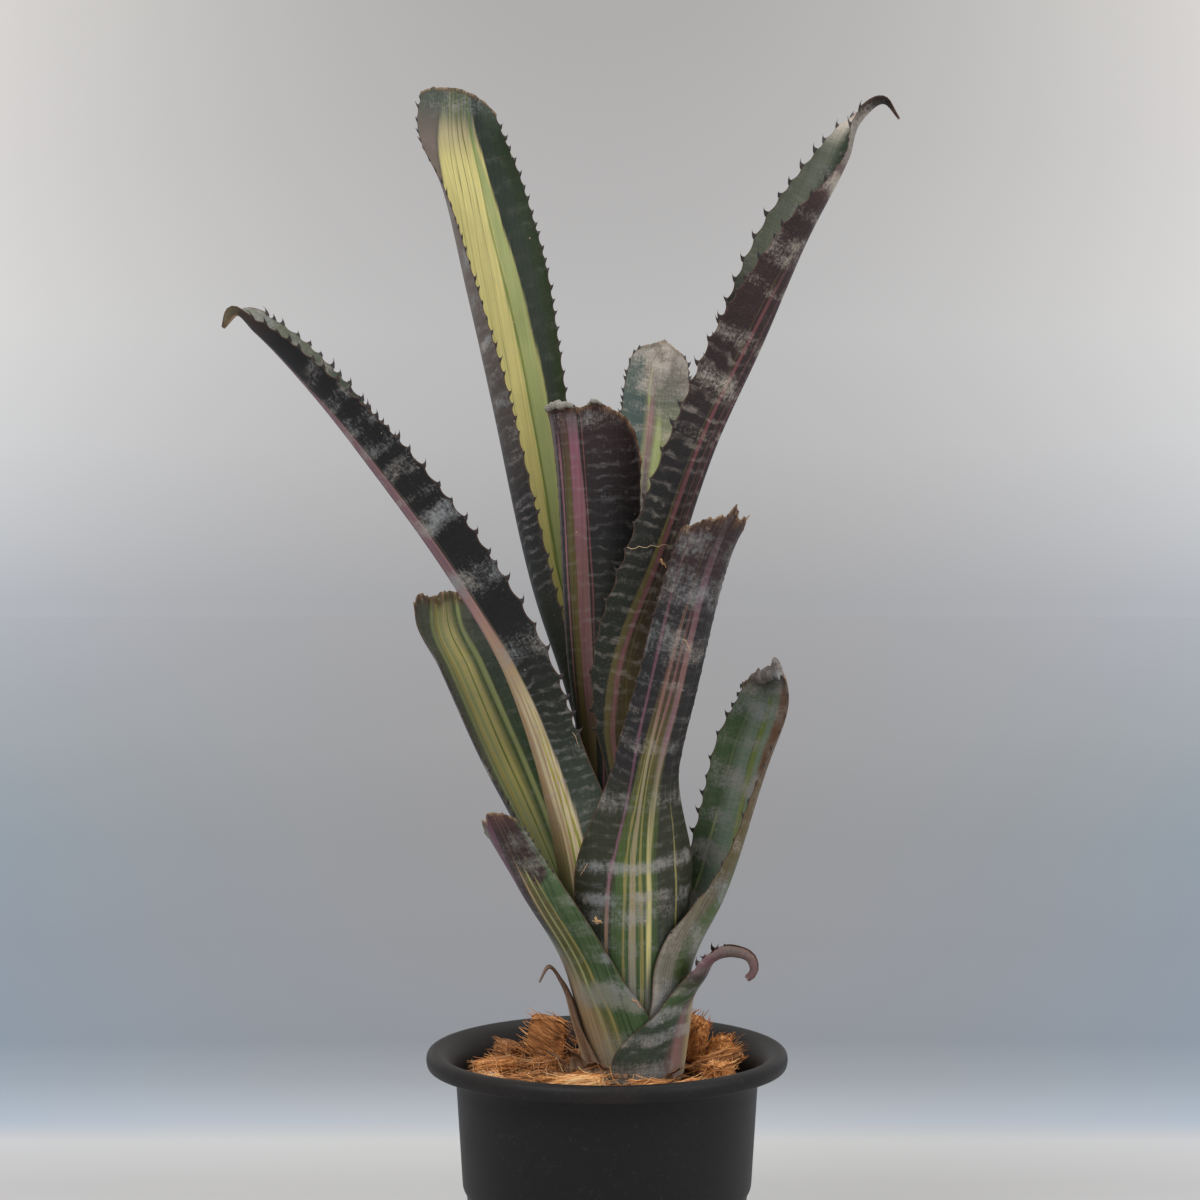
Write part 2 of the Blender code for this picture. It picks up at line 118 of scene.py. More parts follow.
# Pot, as the CAD has it
POT_HEIGHT = 125.0
POT_FOOT_RADIUS = 54.0
POT_WALL = 1.6
POT_FLOOR = 2.2
POT_SIDES = 192
STEP_HEIGHT = 67.0
STEP_DEPTH = 1.5
LIP_RADIUS = 75.0
LIP_DROP = 7.0
NECK_RADIUS = 62.6
NECK_DROP = 13.0
DRAIN_HOLES = 8
DRAIN_RADIUS = 2.7
DRAIN_RING = 38.0
MEDIUM_TOP = 109.0

# Husk and medium
CHIP_VOXEL, STEM_VOXEL = 0.55, 0.7
CHIP_FIBRES = 190
MEDIUM_SIDES, MEDIUM_RINGS = 160, 46
MEDIUM_GAP = 0.3
PIT_DEPTH = 26.5
CRUMBS, CRUMB_REACH = 260, 58.0
LOOSE_FIBRES, LOOSE_REACH = 460, 54.0
STEM_CLEARANCE = 3.0
FIBRE_GIRTH = (0.1, 0.24)
FIBRE_REACH = 60.0  # how far from the pot's middle fibres may lie
FIBRE_DROP = 14.0  # the most that a loose one may climb or fall
RAISED_EACH = 6  # one loose fibre in so many has an end that sticks up


# ---------------------------------------------------------------- colours

def srgb(red, green, blue):
    """A display colour, 0 to 255, as linear light."""
    def linear(value):
        value /= 255
        return value / 12.92 if value <= 0.04045 else ((value + 0.055) / 1.055) ** 2.4
    return (linear(red), linear(green), linear(blue), 1.0)


COLOURS = {name: srgb(*shade) for name, shade in dict(
    soot=(24, 24, 26), charcoal=(34, 32, 33), moss_black=(34, 38, 31), plum=(52, 36, 37), maroon=(84, 58, 56),
    wine=(110, 66, 68), deep_green=(36, 50, 30), teal_black=(38, 48, 40), blue_green=(72, 88, 84),
    slate_green=(66, 76, 64), leaf_green=(74, 92, 48), fresh_green=(104, 124, 58), sage=(98, 102, 86),
    olive=(92, 82, 48), lime=(158, 166, 110), pale_lime=(146, 150, 102), yellow=(194, 184, 112),
    gold=(168, 156, 66), cream=(170, 156, 122), khaki=(146, 136, 104), dull_gold=(136, 128, 76),
    moss=(92, 98, 58), jade=(116, 134, 114), chalk=(196, 186, 172), olive_black=(50, 52, 38),
    butter=(210, 198, 130), bone=(200, 186, 148), umber=(76, 68, 63), dusty_pink=(126, 94, 102),
    fern=(70, 92, 58), tan_line=(168, 140, 104), pink=(142, 92, 106), rose=(122, 88, 84), dusk=(98, 66, 80),
    shell=(166, 128, 122), mauve=(104, 92, 94), grey_brown=(112, 100, 94), ash=(134, 130, 120),
    silver=(146, 148, 149), warm_silver=(168, 160, 152), scurf=(136, 136, 122), bark=(112, 80, 60),
    dark_bark=(58, 44, 38), tan=(182, 154, 122), straw=(214, 196, 164), thorn=(36, 28, 26),
    husk_dark=(92, 60, 40), husk=(168, 108, 62), husk_bright=(236, 170, 104), husk_pale=(240, 198, 142),
    husk_tan=(168, 134, 100), soil=(44, 30, 22), black_plastic=(22, 22, 23),
).items()}


# ---------------------------------------------------------------- smooth curves

def hermite(knots, values, tangents, t):
    i = np.clip(np.searchsorted(knots, t) - 1, 0, len(knots) - 2)
    step = knots[i + 1] - knots[i]
    s = (t - knots[i]) / step
    if values.ndim > 1:
        s, step = s[..., None], step[..., None]
    return (
        (1 + 2 * s) * (1 - s) ** 2 * values[i]
        + s * (1 - s) ** 2 * step * tangents[i]
        + s * s * (3 - 2 * s) * values[i + 1]
        - s * s * (1 - s) * step * tangents[i + 1]
    )


def monotone(xs, ys, x):
    """Values at x of a smooth curve through the points that never overshoots them."""
    xs, ys, x = (np.asarray(a, float) for a in (xs, ys, x))
    slopes = np.diff(ys) / np.diff(xs)
    before, after = slopes[:-1], slopes[1:]
    same_way = before * after > 0
    total = np.where(same_way, before + after, 1.0)
    inner = np.where(same_way, 2 * before * after / total, 0.0)
    return hermite(xs, ys, np.concatenate([slopes[:1], inner, slopes[-1:]]), x)


def smooth_path(knots, points, t):
    """Points at distances t on a smooth curve through the points."""
    steps = np.diff(knots)[:, None]
    secants = np.diff(points, axis=0) / steps
    inner = (secants[:-1] * steps[1:] + secants[1:] * steps[:-1]) / (steps[1:] + steps[:-1])
    return hermite(knots, points, np.concatenate([secants[:1], inner, secants[-1:]]), t)


def ease_in_out(x):
    x = np.clip(x, 0.0, 1.0)
    return x * x * (3 - 2 * x)


def unit(v):
    return v / np.linalg.norm(v, axis=-1, keepdims=True)


def rough(x, seed, octaves=4):
    """Ragged noise along a line, about -1 to 1."""
    out = np.zeros(len(x))
    for k in range(octaves):
        out += [noise.noise(Vector((v * 2 ** k, seed * 7.3, k * 3.1))) / 1.6 ** k for v in x]
    return out


def noise_at(points, stretch, shift):
    """Noise of -1 to 1 at each point."""
    return np.array([noise.noise(Vector(p)) for p in points * np.array(stretch) + shift])


# ---------------------------------------------------------------- leaf tables

def rows(text):
    """Rows of numbers from text: "0 1.5, 4 2" is (0, 1.5) and (4, 2)."""
    return [tuple(map(float, row.split())) for row in text.split(",")]


def stops(text, total=1.0):
    """Places with their colours' names: "0 plum, 40 soot", as shares of the total."""
    return [(float(at) / total, name) for at, name in (stop.split() for stop in text.split(","))]


# rank, way, leaves_at, wrap, ease, keel and blade are the CAD's: each row of blade is
# x, y, z of the midrib, the way its back faces, its width laid flat and its channel's
# whole bend. tip: place across the leaf, and how far the end falls short there.
# ragged: height of the torn edge's teeth. curl: how far that edge bends to the back.
# rolls: first and last u, radius (negative: towards the face) and turns of a rolled end.
# spines: first and last distance along the leaf, spacing and length.
# wave: height of the blade's ripples.
PLAIN_LEAF = dict(ease=1.0, keel=1.0, curl=0.0, rolls=())
LEAVES = {
    "leaf_small_back": dict(
        rank=0, way=85, leaves_at=128, wrap=(100, 55), ragged=0.5, spines=(170, 296, 6.5, 2.2), wave=0.5,
        blade="11 17 277 85 31 110, 15 20 311 85 36 115, 18 26 354 85 36 110, 21 32 388 88 34 90, "
              "23 36 413 90 28 80, 25 38 424 90 8 70",
        tip="-1 6, -.5 2, 0 0, .5 2, 1 6",
    ),
    "leaf_tall_left": dict(
        rank=1, way=137, leaves_at=128, wrap=(100, 88), ragged=0.5, spines=(150, 418, 9.5, 2.6), wave=0.6,
        blade="-15 18 273 150 50 185, -28.5 28 315 148 57 191, -43 40 385 144 63.5 186, "
              "-53.5 50 443 135 65 165, -61.5 56 488 127 56 131, -67 59 519 111 43 80, -67 60 538 100 30 40",
        tip="-1 12, -.8 6, -.5 2.5, -.2 .6, .2 0, .7 .8, 1 4",
    ),
    "leaf_centre_torn": dict(
        rank=2, way=-110, leaves_at=128, wrap=(100, 67), ragged=1.0, curl=2.2, spines=(135, 250, 9.0, 1.0),
        wave=0.5, rolls=[(-0.97, -0.2, 1.5, 1.3), (0.0, 0.3, 0.8, 0.7)],
        blade="-4 -15.5 282 -106 36 126, -5.5 -18 327 -106 40 118, -6.5 -20 364 -105 42.5 110, "
              "-8 -21 392 -102 42 95",
        tip="-1 2, -.6 0, -.1 2.5, .15 0, .45 4, .7 7, .88 13, 1 26",
    ),
    "leaf_tall_right": dict(
        rank=3, way=-42, leaves_at=128, wrap=(100, 62), keel=0.6, ragged=0.0, spines=(132, 398, 11.5, 3.4),
        wave=0.6,
        blade="15 -20 278 -38 48 150, 28 -30 327 -21 50.5 142, 42.5 -38 371 -12 48.5 151, "
              "62 -44 414 -1 54 165, 78 -50 452 17 45 158, 93 -54 483 28 29.5 117, 99 -56 498 10 18 100, "
              "108 -56 505 -10 8 70, 114 -55 499 -20 2 40",
        tip="-1 0, 1 0",
    ),
    "leaf_long_left": dict(
        rank=4, way=-157, leaves_at=92, wrap=(100, 72), keel=0.6, ragged=0.0, spines=(128, 342, 9.5, 3.6),
        wave=0.6,
        blade="-31 -15 252 -160 48 145, -42 -24 283 -163 48.5 152, -63 -34 319.7 -165 48.5 155, "
              "-91 -44 359.7 -172 46.5 151, -116 -48 392 -185 38 141, -138 -50 416 -200 26.5 112, "
              "-146 -50 423 -204 12 80, -151 -49 418 -204 3 40",
        tip="-1 0, 1 0",
    ),
    "leaf_front_torn": dict(
        rank=5, way=-72, leaves_at=92, wrap=(100, 60), ragged=1.6, curl=1.5, spines=(120, 215, 8.0, 1.5),
        wave=0.7,
        blade="18 -39 243 -72 35 130, 26 -46 275 -70 34 130, 35 -49 309 -66 33 120, 43 -51 333 -62 31 105, "
              "50 -52 349 -60 26 90",
        tip="-1 17, -.5 9, -.1 6, .05 0, .25 5, .7 2, .85 4, 1 8",
    ),
    "leaf_left_broad": dict(
        rank=6, way=160, leaves_at=60, wrap=(100, 70), ragged=1.2, curl=2.0, spines=(66, 180, 8.5, 3.0),
        wave=0.8,
        blade="-31.5 14 212 150 50 110, -46 18 243 142 51.5 116, -63 22 281 136 49.5 111, "
              "-71.5 24 300 130 42 100, -72 24 315 125 30 90",
        tip="-1 2, -.3 0, .2 3, .6 1, 1 5",
    ),
    "leaf_right_upright": dict(
        rank=7, way=12, leaves_at=32, wrap=(100, 84), ragged=1.6, curl=-1.5, spines=(42, 164, 12.0, 2.9),
        wave=0.8, rolls=[(-0.85, 0.85, -2.6, 0.6)],
        blade="36 3 162 4 64 150, 48 6 188 17 50 145, 56 9 216 34 42 148, 63.5 12 244 37 44 132, "
              "71 13 269 39 36.5 118, 70.5 13 285 40 24 90",
        tip="-1 7, -.6 5, -.35 0, -.2 5, .3 6, .6 4, 1 8",
    ),
    "leaf_low_left": dict(
        rank=8, way=-160, leaves_at=46, wrap=(104, 62), ease=1.6, ragged=1.5, curl=1.5,
        spines=(92, 120, 4.5, 1.8), wave=0.6,
        blade="-34 -20 193 -152 42 110, -43 -25 212 -142 32 90, -48 -26 225 -135 20 70",
        tip="-1 10, -.7 7, -.5 2, -.2 4, 0 0, .5 1, 1 4",
    ),
    "leaf_low_right": dict(
        rank=9, way=-30, leaves_at=32, wrap=(100, 35), ease=1.6, ragged=0.6, spines=(44, 62, 5.4, 3.8),
        wave=0.3,
        blade="40 -14 157 -25 22 110, 44 -18 164 -20 15 230, 52 -23 166.5 -20 12 280, 57 -26 165 -20 10 290, "
              "58 -26.5 161.5 -20 8 290, 56 -25.5 159 -20 6 290",
        tip="-1 0, 1 0",
    ),
    "leaf_dried_stub": dict(
        rank=10, way=-180, leaves_at=26, wrap=(57, 28), ragged=0.8, spines=(1, 0, 5.0, 2.0), wave=0.5,
        blade="-19 -3 152 -175 12 50, -24 -5 159 -172 6 50, -28 -6 153 -172 2 40",
        tip="-1 0, 1 0",
    ),
}
PURPLE_LEAVES = ("leaf_centre_torn", "leaf_tall_right", "leaf_long_left", "leaf_front_torn")
LEAF_SLOTS = dict.fromkeys(PURPLE_LEAVES, "leaf_purple") | {"leaf_dried_stub": "leaf_dry"}

# The colours of each leaf's two sides. base: distances along the leaf and colours.
# stripes: colour (or distances and colours), softness of the borders, rows of distance
# with left and right border (u), and where it is streaked, with what and how strongly.
# bands: rows of distance, half width and strength of the silver crossbands.
# lean: the bands' strength at u = -1 and u = +1. clumps: steepness and start of their
# patches. ticks: first and last distance of the fine rings between them, their spacing
# and strength. dry: length and share of the dried end. haze: strength of the even dust.
# scales: the two colours of all these. opaque: how far they hide the flesh.
# foot: their density at the leaf's foot. edge: strength of the brown margin.
PLAIN_LOOK = dict(stripes=(), bands="", lean=(1, 1), clumps=(3.0, -0.55), haze=0.16,
                  scales=("silver", "warm_silver"), opaque=0.92, foot=0.4, edge=0.5)
LOOKS = {
    "leaf_small_back_face": dict(
        base="0 moss_black, 200 slate_green, 240 pale_lime, 270 sage, 290 grey_brown",
        stripes=[
            ("blue_green", 0.05, "0 .28 1.2, 230 .3 1.2, 270 .3 1.2, 290 .45 1.2"),
            ("235 mauve, 262 shell, 285 mauve", 0.07, "240 .05 .22, 280 .08 .2, 288 .14 .12", "dusk", 0.5),
            ("lime", 0.06, "225 -.25 .02, 255 -.16 -.02, 272 -.05 -.08", "fresh_green", 0.5),
            ("262 lime, 276 pale_lime, 284 cream, 290 sage", 0.04, "262 .2 .18, 275 .13 .24, 286 .15 .2"),
        ],
        bands="236 2 .6, 246 2 .6, 256 3 .8, 266 3 .8, 276 5 1, 291 13 1.5",
        lean=(1.1, 0.75), ticks=(215, 299, 4.5, 0.5), dry=(4, 0.35), haze=0.3,
        scales=("warm_silver", "chalk"),
    ),
    "leaf_small_back_back": dict(
        base="0 moss_black, 200 charcoal, 290 mauve",
        bands="185 3 .8, 210 3 1, 232 4 1.1, 250 3 1, 268 5 1.2, 287 5 1.1",
        ticks=(120, 290, 8, 0.4), dry=(7, 0.6),
    ),
    "leaf_tall_left_face": dict(
        base="0 moss_black, 150 deep_green, 400 deep_green, 420 slate_green",
        stripes=[
            ("teal_black", 0.12, "150 -.95 -.6, 330 -.8 -.5, 400 -.7 -.3, 420 -.6 -.4"),
            # the yellow stripe's butter stretch, 340 to 390, is its own pale yellow brightened by a painted
            # highlight
            ("120 gold, 200 yellow, 340 butter, 390 butter, 404 cream, 412 sage, 418 slate_green", 0.03,
             "100 -.5 1.2, 200 -.55 1.2, 250 -.66 1.2, 280 -.66 1.2, 310 -.62 1.2, "
             "345 -.54 1.2, 362 -.5 1.2, 374 -.47 .62, 400 -.42 .42, 424 -.36 .3", "lime", 0.35),
            ("100 lime, 395 lime, 410 sage, 418 slate_green", 0.03,
             "100 -.5 -.34, 250 -.66 -.46, 310 -.62 -.42, 360 -.5 -.34, 416 -.36 -.26"),
            ("fresh_green", 0.02, "100 -.35 -.31, 250 -.47 -.43, 310 -.42 -.385, 385 -.31 -.29"),
            ("moss", 0.01, "350 -.19 -.185, 380 -.17 -.16, 418 -.14 -.12"),
            ("moss", 0.01, "356 -.055 -.05, 380 -.05 -.035, 420 -.03 -.01"),
            ("moss", 0.01, "362 .09 .095, 385 .09 .1, 418 .08 .1"),
            ("moss", 0.01, "372 .2 .205, 390 .19 .2, 416 .17 .185"),
            ("370 grey_brown, 400 grey_brown, 418 slate_green", 0.12,
             "0 2 2, 366 2 2, 378 .6 2, 400 .42 2, 424 .3 2"),
        ],
        bands="418 8 .8, 300 30 .12",
        lean=(1.0, 0.6), ticks=(200, 420, 11, 0.12), dry=(3, 0.5), haze=0.05, edge=0.1,
    ),
    "leaf_tall_left_back": dict(
        base="0 moss_black, 170 moss_black, 225 charcoal, 275 umber, 340 grey_brown, 424 grey_brown",
        bands="230 2 .6, 248 2 .6, 260 2 .7, 275 2.2 1, 285 2 .8, 300 2.6 1.1, 318 5 .9, 338 6 .9, 362 6 1, "
              "392 8 1",
        ticks=(190, 330, 5, 0.5), dry=(4, 0.5), haze=0.3,
    ),
    "leaf_centre_torn_back": dict(
        base="0 moss_black, 170 moss_black, 215 charcoal, 268 plum",
        stripes=[
            ("mauve", 0.06, "150 -1.2 -.9, 268 -1.2 -.86"),
            ("150 olive, 230 olive, 262 maroon", 0.02,
             "130 -.6 -.3, 150 -.57 -.34, 200 -.62 -.38, 268 -.66 -.44", "plum", 0.4),
            ("130 olive, 150 rose, 200 rose, 250 pink, 262 mauve, 268 dark_bark", 0.015,
             "120 -.3 -.16, 150 -.36 -.06, 200 -.4 -.08, 250 -.44 -.19, 268 -.45 -.21", "dusk", 0.35),
            ("150 rose, 245 pink, 260 plum", 0.012,
             "120 -.66 -.62, 200 -.72 -.65, 250 -.78 -.7, 268 -.79 -.71"),
            ("wine", 0.01, "180 -.02 0, 268 -.15 -.13"),
        ],
        bands="228 3 .3, 247 3 .3, 262 5 .7",
        lean=(0.8, 1.2), ticks=(150, 262, 5, 0.26), dry=(4, 0.9), haze=0.1,
    ),
    "leaf_centre_torn_face": dict(
        base="0 moss_black, 200 deep_green, 255 slate_green, 264 ash, 268 chalk",
        bands="240 4 .5",
        ticks=(150, 262, 7, 0.2), dry=(5, 0.9),
    ),
    "leaf_tall_right_back": dict(
        base="0 moss_black, 190 moss_black, 240 charcoal, 310 plum, 352 plum, 368 maroon, 380 grey_brown, "
             "390 ash, 396 dark_bark, 405 thorn",
        stripes=[
            ("100 olive, 230 plum, 310 plum, 352 maroon, 370 grey_brown, 382 grey_brown, 390 ash, "
             "396 dark_bark, 405 thorn", 0.18,
             "90 -.7 .3, 200 -.38 .7, 300 -.25 1.2, 414 -.2 1.2", "plum", 0.4),
            ("olive", 0.02, "110 -.92 -.8, 160 -.64 -.54, 200 -.55 -.46, 245 -.5 -.49"),
            ("110 rose, 250 wine, 308 wine, 330 maroon, 350 plum, 385 grey_brown", 0.02,
             "110 -.8 -.7, 160 -.54 -.46, 200 -.46 -.39, 260 -.46 -.4, 300 -.44 -.38, 345 -.38 -.33, "
             "380 -.3 -.28"),
            ("150 olive, 250 maroon, 380 maroon", 0.015,
             "150 -.36 -.33, 220 -.3 -.27, 300 -.24 -.2, 350 -.14 -.1, 385 -.1 -.08"),
            ("wine", 0.01, "240 -.14 -.12, 300 -.06 -.03, 360 .06 .08"),
        ],
        bands="150 30 .25, 200 30 .3, 259 2.4 1, 279 6 1.05, 299 4 1.05, 309 1.5 .6, 321 3 .9, 338 6 1.3, "
              "352 3 1, 366 5 1.7, 380 7 1.2, 393 8 1.1",
        lean=(0.6, 1.25), ticks=(140, 300, 6, 0.38), dry=(6, 0.9), scales=("warm_silver", "chalk"),
    ),
    "leaf_tall_right_face": dict(
        base="0 moss_black, 260 plum, 312 moss_black, 330 sage, 382 sage, 392 chalk, 399 wine, 406 thorn",
        stripes=[
            ("deep_green", 0.2, "0 -.4 .4, 414 -.4 .4"),
        ],
        bands="330 5 .5, 352 8 .5, 372 6 .5, 396 8 .9",
        ticks=(250, 400, 7, 0.3), dry=(3, 0.6), haze=0.22,
    ),
    "leaf_long_left_back": dict(
        base="0 moss_black, 80 slate_green, 150 moss_black, 190 soot, 325 soot, 342 dark_bark, 352 khaki",
        stripes=[
            ("60 leaf_green, 110 tan_line, 165 tan_line, 190 dusty_pink, 250 dusk, 320 mauve, 350 tan", 0.05,
             "50 -1.3 .24, 110 -1.3 .26, 150 -1.3 .25, 352 -1.3 .22", "plum", 0.3),
            ("50 cream, 85 bone, 150 bone, 172 tan_line, 195 shell, 215 dusty_pink, 290 dusty_pink, "
             "320 dusk", 0.03,
             "50 .18 .6, 90 .2 .52, 110 .14 .52, 140 .12 .45, 170 .08 .33, 200 .06 .28, "
             "290 .1 .27, 325 .15 .2", "shell", 0.6),
            ("60 fresh_green, 130 gold, 165 tan_line", 0.01,
             "60 .28 .33, 100 .31 .35, 140 .3 .335, 168 .25 .25"),
            ("60 fresh_green, 130 gold, 165 tan_line", 0.01,
             "60 .43 .5, 100 .43 .47, 140 .38 .41, 165 .32 .32"),
            ("tan_line", 0.02, "90 .24 .28, 130 .2 .25, 170 .15 .18, 200 .12 .12"),
        ],
        bands="104 5 .5, 128 5 .5, 150 2 .3, 174 7 .85, 208 6.5 1.15, 236 5 1.15, 247 2 .8, 258 4 .85, "
              "270 4 .8, 282 5 .95, 295 4 .8, 308 4 .7",
        lean=(1.15, 0.85), ticks=(90, 175, 4.4, 0.45), dry=(3, 0.8), haze=0.06,
    ),
    "leaf_long_left_face": dict(
        base="0 moss_black, 280 soot, 298 slate_green, 325 sage, 345 sage, 352 ash",
        bands="308 4 .8, 322 6 1, 336 7 1.2, 348 6 1.3",
        ticks=(250, 350, 6, 0.3), dry=(3, 0.8), haze=0.3,
    ),
    "leaf_front_torn_back": dict(
        base="0 slate_green, 30 slate_green, 70 olive_black, 105 olive_black, 125 charcoal, 185 charcoal, "
             "208 plum, 222 plum, 236 dark_bark",
        stripes=[
            ("30 fern, 90 leaf_green, 135 olive, 170 plum", 0.03,
             "20 -.5 .2, 60 -.45 .12, 80 -.42 .12, 110 -.38 .2, 140 -.34 .24, "
             "165 -.3 .2, 180 -.1 -.05", "moss_black", 0.35),
            ("40 tan_line, 80 dusty_pink, 120 dusk, 160 dusk, 210 maroon", 0.016,
             "30 -.58 -.53, 60 -.55 -.5, 80 -.5 -.45, 100 -.43 -.39, 120 -.47 -.42, 140 -.53 -.47, "
             "160 -.6 -.53, 185 -.66 -.58, 205 -.7 -.66"),
            ("dull_gold", 0.01, "30 -.34 -.3, 80 -.3 -.26, 120 -.26 -.23, 150 -.25 -.25"),
            ("30 scurf, 60 khaki, 130 khaki, 150 rose, 180 maroon, 210 plum", 0.012,
             "30 -.24 -.16, 80 -.22 -.15, 120 -.2 -.125, 160 -.27 -.18, 195 -.26 -.19, "
             "214 -.2 -.2", "tan_line", 0.3),
            ("30 dull_gold, 120 dull_gold, 150 rose, 200 plum", 0.01,
             "30 -.1 -.06, 80 -.1 -.06, 120 -.08 -.05, 160 -.07 -.025, 195 -.1 -.04, 205 -.1 -.1"),
            ("30 scurf, 50 butter, 112 khaki, 140 dusty_pink, 165 rose, 200 dusk, 236 plum", 0.02,
             "30 -.04 .03, 60 -.02 .05, 80 0 .07, 100 .03 .12, 120 .06 .18, 140 .07 .22, "
             "160 .05 .2, 180 .02 .17, 200 -.06 .12, 236 -.08 .08", "fern", 0.4),
            ("dull_gold", 0.008, "50 .45 .475, 80 .46 .485, 100 .5 .52, 116 .52 .52"),
        ],
        bands="30 14 .5, 50 6 .6, 64 6 .75, 71 2.4 1.05, 84 3 .9, 111 5 .85, 133 3 .7, 146 2 .5, 160 3 .5, "
              "176 7 .75, 198 9 .7, 216 8 .6, 229 5 .4",
        lean=(1.0, 1.1), ticks=(60, 220, 5, 0.3), dry=(6, 0.7), haze=0.14, clumps=(4.2, -1.05), opaque=0.7,
    ),
    "leaf_front_torn_face": dict(
        base="0 moss_black, 236 dark_bark",
        bands="200 8 .4",
        ticks=(60, 220, 6, 0.2), dry=(9, 0.8),
    ),
    "leaf_left_broad_face": dict(
        base="0 slate_green, 90 fern, 170 slate_green, 205 sage, 211 bark",
        stripes=[
            ("fern", 0.06, "0 -.42 -.26, 211 -.42 -.28"),
            ("0 lime, 80 lime, 120 yellow, 150 butter, 190 butter, 206 khaki", 0.1,
             "0 -.3 .17, 120 -.32 .16, 205 -.32 .12", "lime", 0.3),
            ("fresh_green", 0.012, "0 -.22 -.18, 205 -.22 -.19"),
            ("lime", 0.06, "0 -.06 .02, 205 -.06 .02"),
            ("gold", 0.012, "0 .08 .11, 205 .06 .09"),
            ("lime", 0.04, "0 .2 .36, 130 .18 .32, 200 .16 .26", "fern", 0.35),
            ("sage", 0.1, "0 .4 .62, 205 .3 .5", "slate_green", 0.4),
            ("lime", 0.035, "0 -.52 -.42, 205 -.52 -.43"),
        ],
        bands="110 10 .5, 140 10 .5, 168 12 .55, 192 10 .65",
        lean=(0.5, 1.3), ticks=(90, 205, 7, 0.3), dry=(7, 0.75), haze=0.15,
    ),
    "leaf_left_broad_back": dict(
        base="0 slate_green, 100 moss_black, 170 charcoal, 211 mauve",
        bands="60 4 .8, 82 4 .9, 104 5 1, 130 5 1, 156 5 1, 184 6 .9",
        ticks=(60, 200, 6, 0.3), dry=(12, 0.75),
    ),
    "leaf_right_upright_face": dict(
        base="0 slate_green, 60 jade, 150 jade, 164 sage, 174 ash",
        stripes=[
            ("fern", 0.15, "40 .5 1.2, 90 .6 1.2, 128 .5 1.2, 145 .5 1.2, 158 .9 .9"),
            ("lime", 0.02, "50 .62 .65, 100 .62 .65, 112 .6 .6"),
            ("60 pale_lime, 160 fresh_green", 0.03,
             "60 -.1 0, 100 0 .14, 150 .05 .2, 165 .1 .1", "olive", 0.5),
            ("0 maroon, 150 bark", 0.08,
             "0 -1.2 -.3, 90 -1.2 -.2, 130 -1.2 -.12, 174 -1.2 -.3", "olive", 0.4),
        ],
        bands="66 9 1.1, 86 6 1.1, 104 4 .9, 120 7 1.2, 136 4 .8, 152 6 1, 166 8 1.2",
        ticks=(60, 170, 6, 0.3), dry=(4, 0.7), haze=0.3,
    ),
    "leaf_right_upright_back": dict(
        base="0 sage, 40 slate_green, 90 moss_black, 150 umber, 174 grey_brown",
        stripes=[
            ("20 ash, 90 olive, 174 bark", 0.1, "0 -1.2 -.2, 174 -1.2 -.2", "moss_black", 0.5),
            ("leaf_green", 0.08, "20 -.7 -.3, 60 -.7 -.3, 90 -.5 -.4"),
        ],
        bands="30 10 1.1, 52 7 1, 74 6 .9, 95 5 .7, 115 5 .6, 140 5 .6, 166 6 .9",
        ticks=(30, 170, 6, 0.4), dry=(5, 0.7), haze=0.3,
    ),
    "leaf_low_left_back": dict(
        base="0 tan, 18 tan_line, 36 slate_green, 60 moss_black, 80 plum, 112 plum, 122 maroon",
        stripes=[
            ("fern", 0.1, "15 .3 1.2, 60 .3 1.2, 84 .4 1.2, 96 .9 1.2", "deep_green", 0.7),
            ("20 leaf_green, 90 olive", 0.04, "15 .1 .6, 60 .14 .55, 88 .2 .5, 100 .3 .3"),
            ("20 scurf, 60 pale_lime, 90 tan_line", 0.015, "15 .18 .28, 60 .2 .27, 92 .22 .28, 104 .26 .26"),
            ("pale_lime", 0.012, "15 .38 .44, 60 .39 .44, 92 .4 .44, 100 .42 .42"),
            ("dull_gold", 0.012, "15 .54 .58, 60 .54 .58, 88 .54 .57, 95 .56 .56"),
            ("dusk", 0.03, "70 -.3 -.28, 90 -.4 -.1, 122 -.5 0"),
            ("0 tan, 30 tan_line, 60 scurf", 0.25,
             "0 -1.3 .5, 25 -1.3 .4, 45 -1.3 .22, 62 -1.3 0, 78 -1.3 -.5", "slate_green", 0.5),
        ],
        bands="12 9 .5, 36 6 1.15, 52 3 .5, 64 3 .4, 78 3 .4, 95 8 .65, 108 5 .6",
        lean=(-0.5, 1.6), ticks=(30, 110, 6, 0.4), dry=(4, 0.35), haze=0.15, scales=('silver', 'scurf'),
        clumps=(4.6, -1.1), foot=0.7, opaque=0.8,
    ),
    "leaf_low_left_face": dict(
        base="0 deep_green, 122 bark",
        bands="90 6 .4",
        ticks=(30, 110, 6, 0.2), dry=(10, 0.9),
    ),
    "leaf_low_right_back": dict(
        base="0 grey_brown, 10 slate_green, 22 slate_green, 36 fern, 45 umber, 53 dusty_pink, 64 grey_brown, "
             "76 dusty_pink",
        stripes=[
            ("0 bone, 30 tan_line, 45 maroon", 0.2, "0 0 1.3, 25 .1 1.3, 42 .5 1.2", "rose", 0.5),
            ("5 shell, 30 dusty_pink, 45 maroon", 0.1, "0 -.25 0, 25 -.2 -.02, 40 .3 .4", "rose", 0.5),
        ],
        bands="4 5 .7, 19 3 1.1, 29 3 1, 38 2.5 .9, 48 3 .5",
        ticks=(10, 60, 5, 0.5), dry=(16, 0.3), haze=0.3,
    ),
    "leaf_low_right_face": dict(
        base="0 slate_green, 48 bark, 60 maroon",
        bands="30 6 .5",
        ticks=(10, 60, 5, 0.2), dry=(36, 1.0),
    ),
    "leaf_dried_stub_back": dict(
        base="0 straw, 14 tan, 30 tan_line, 42 bark, 60 tan",
        stripes=[
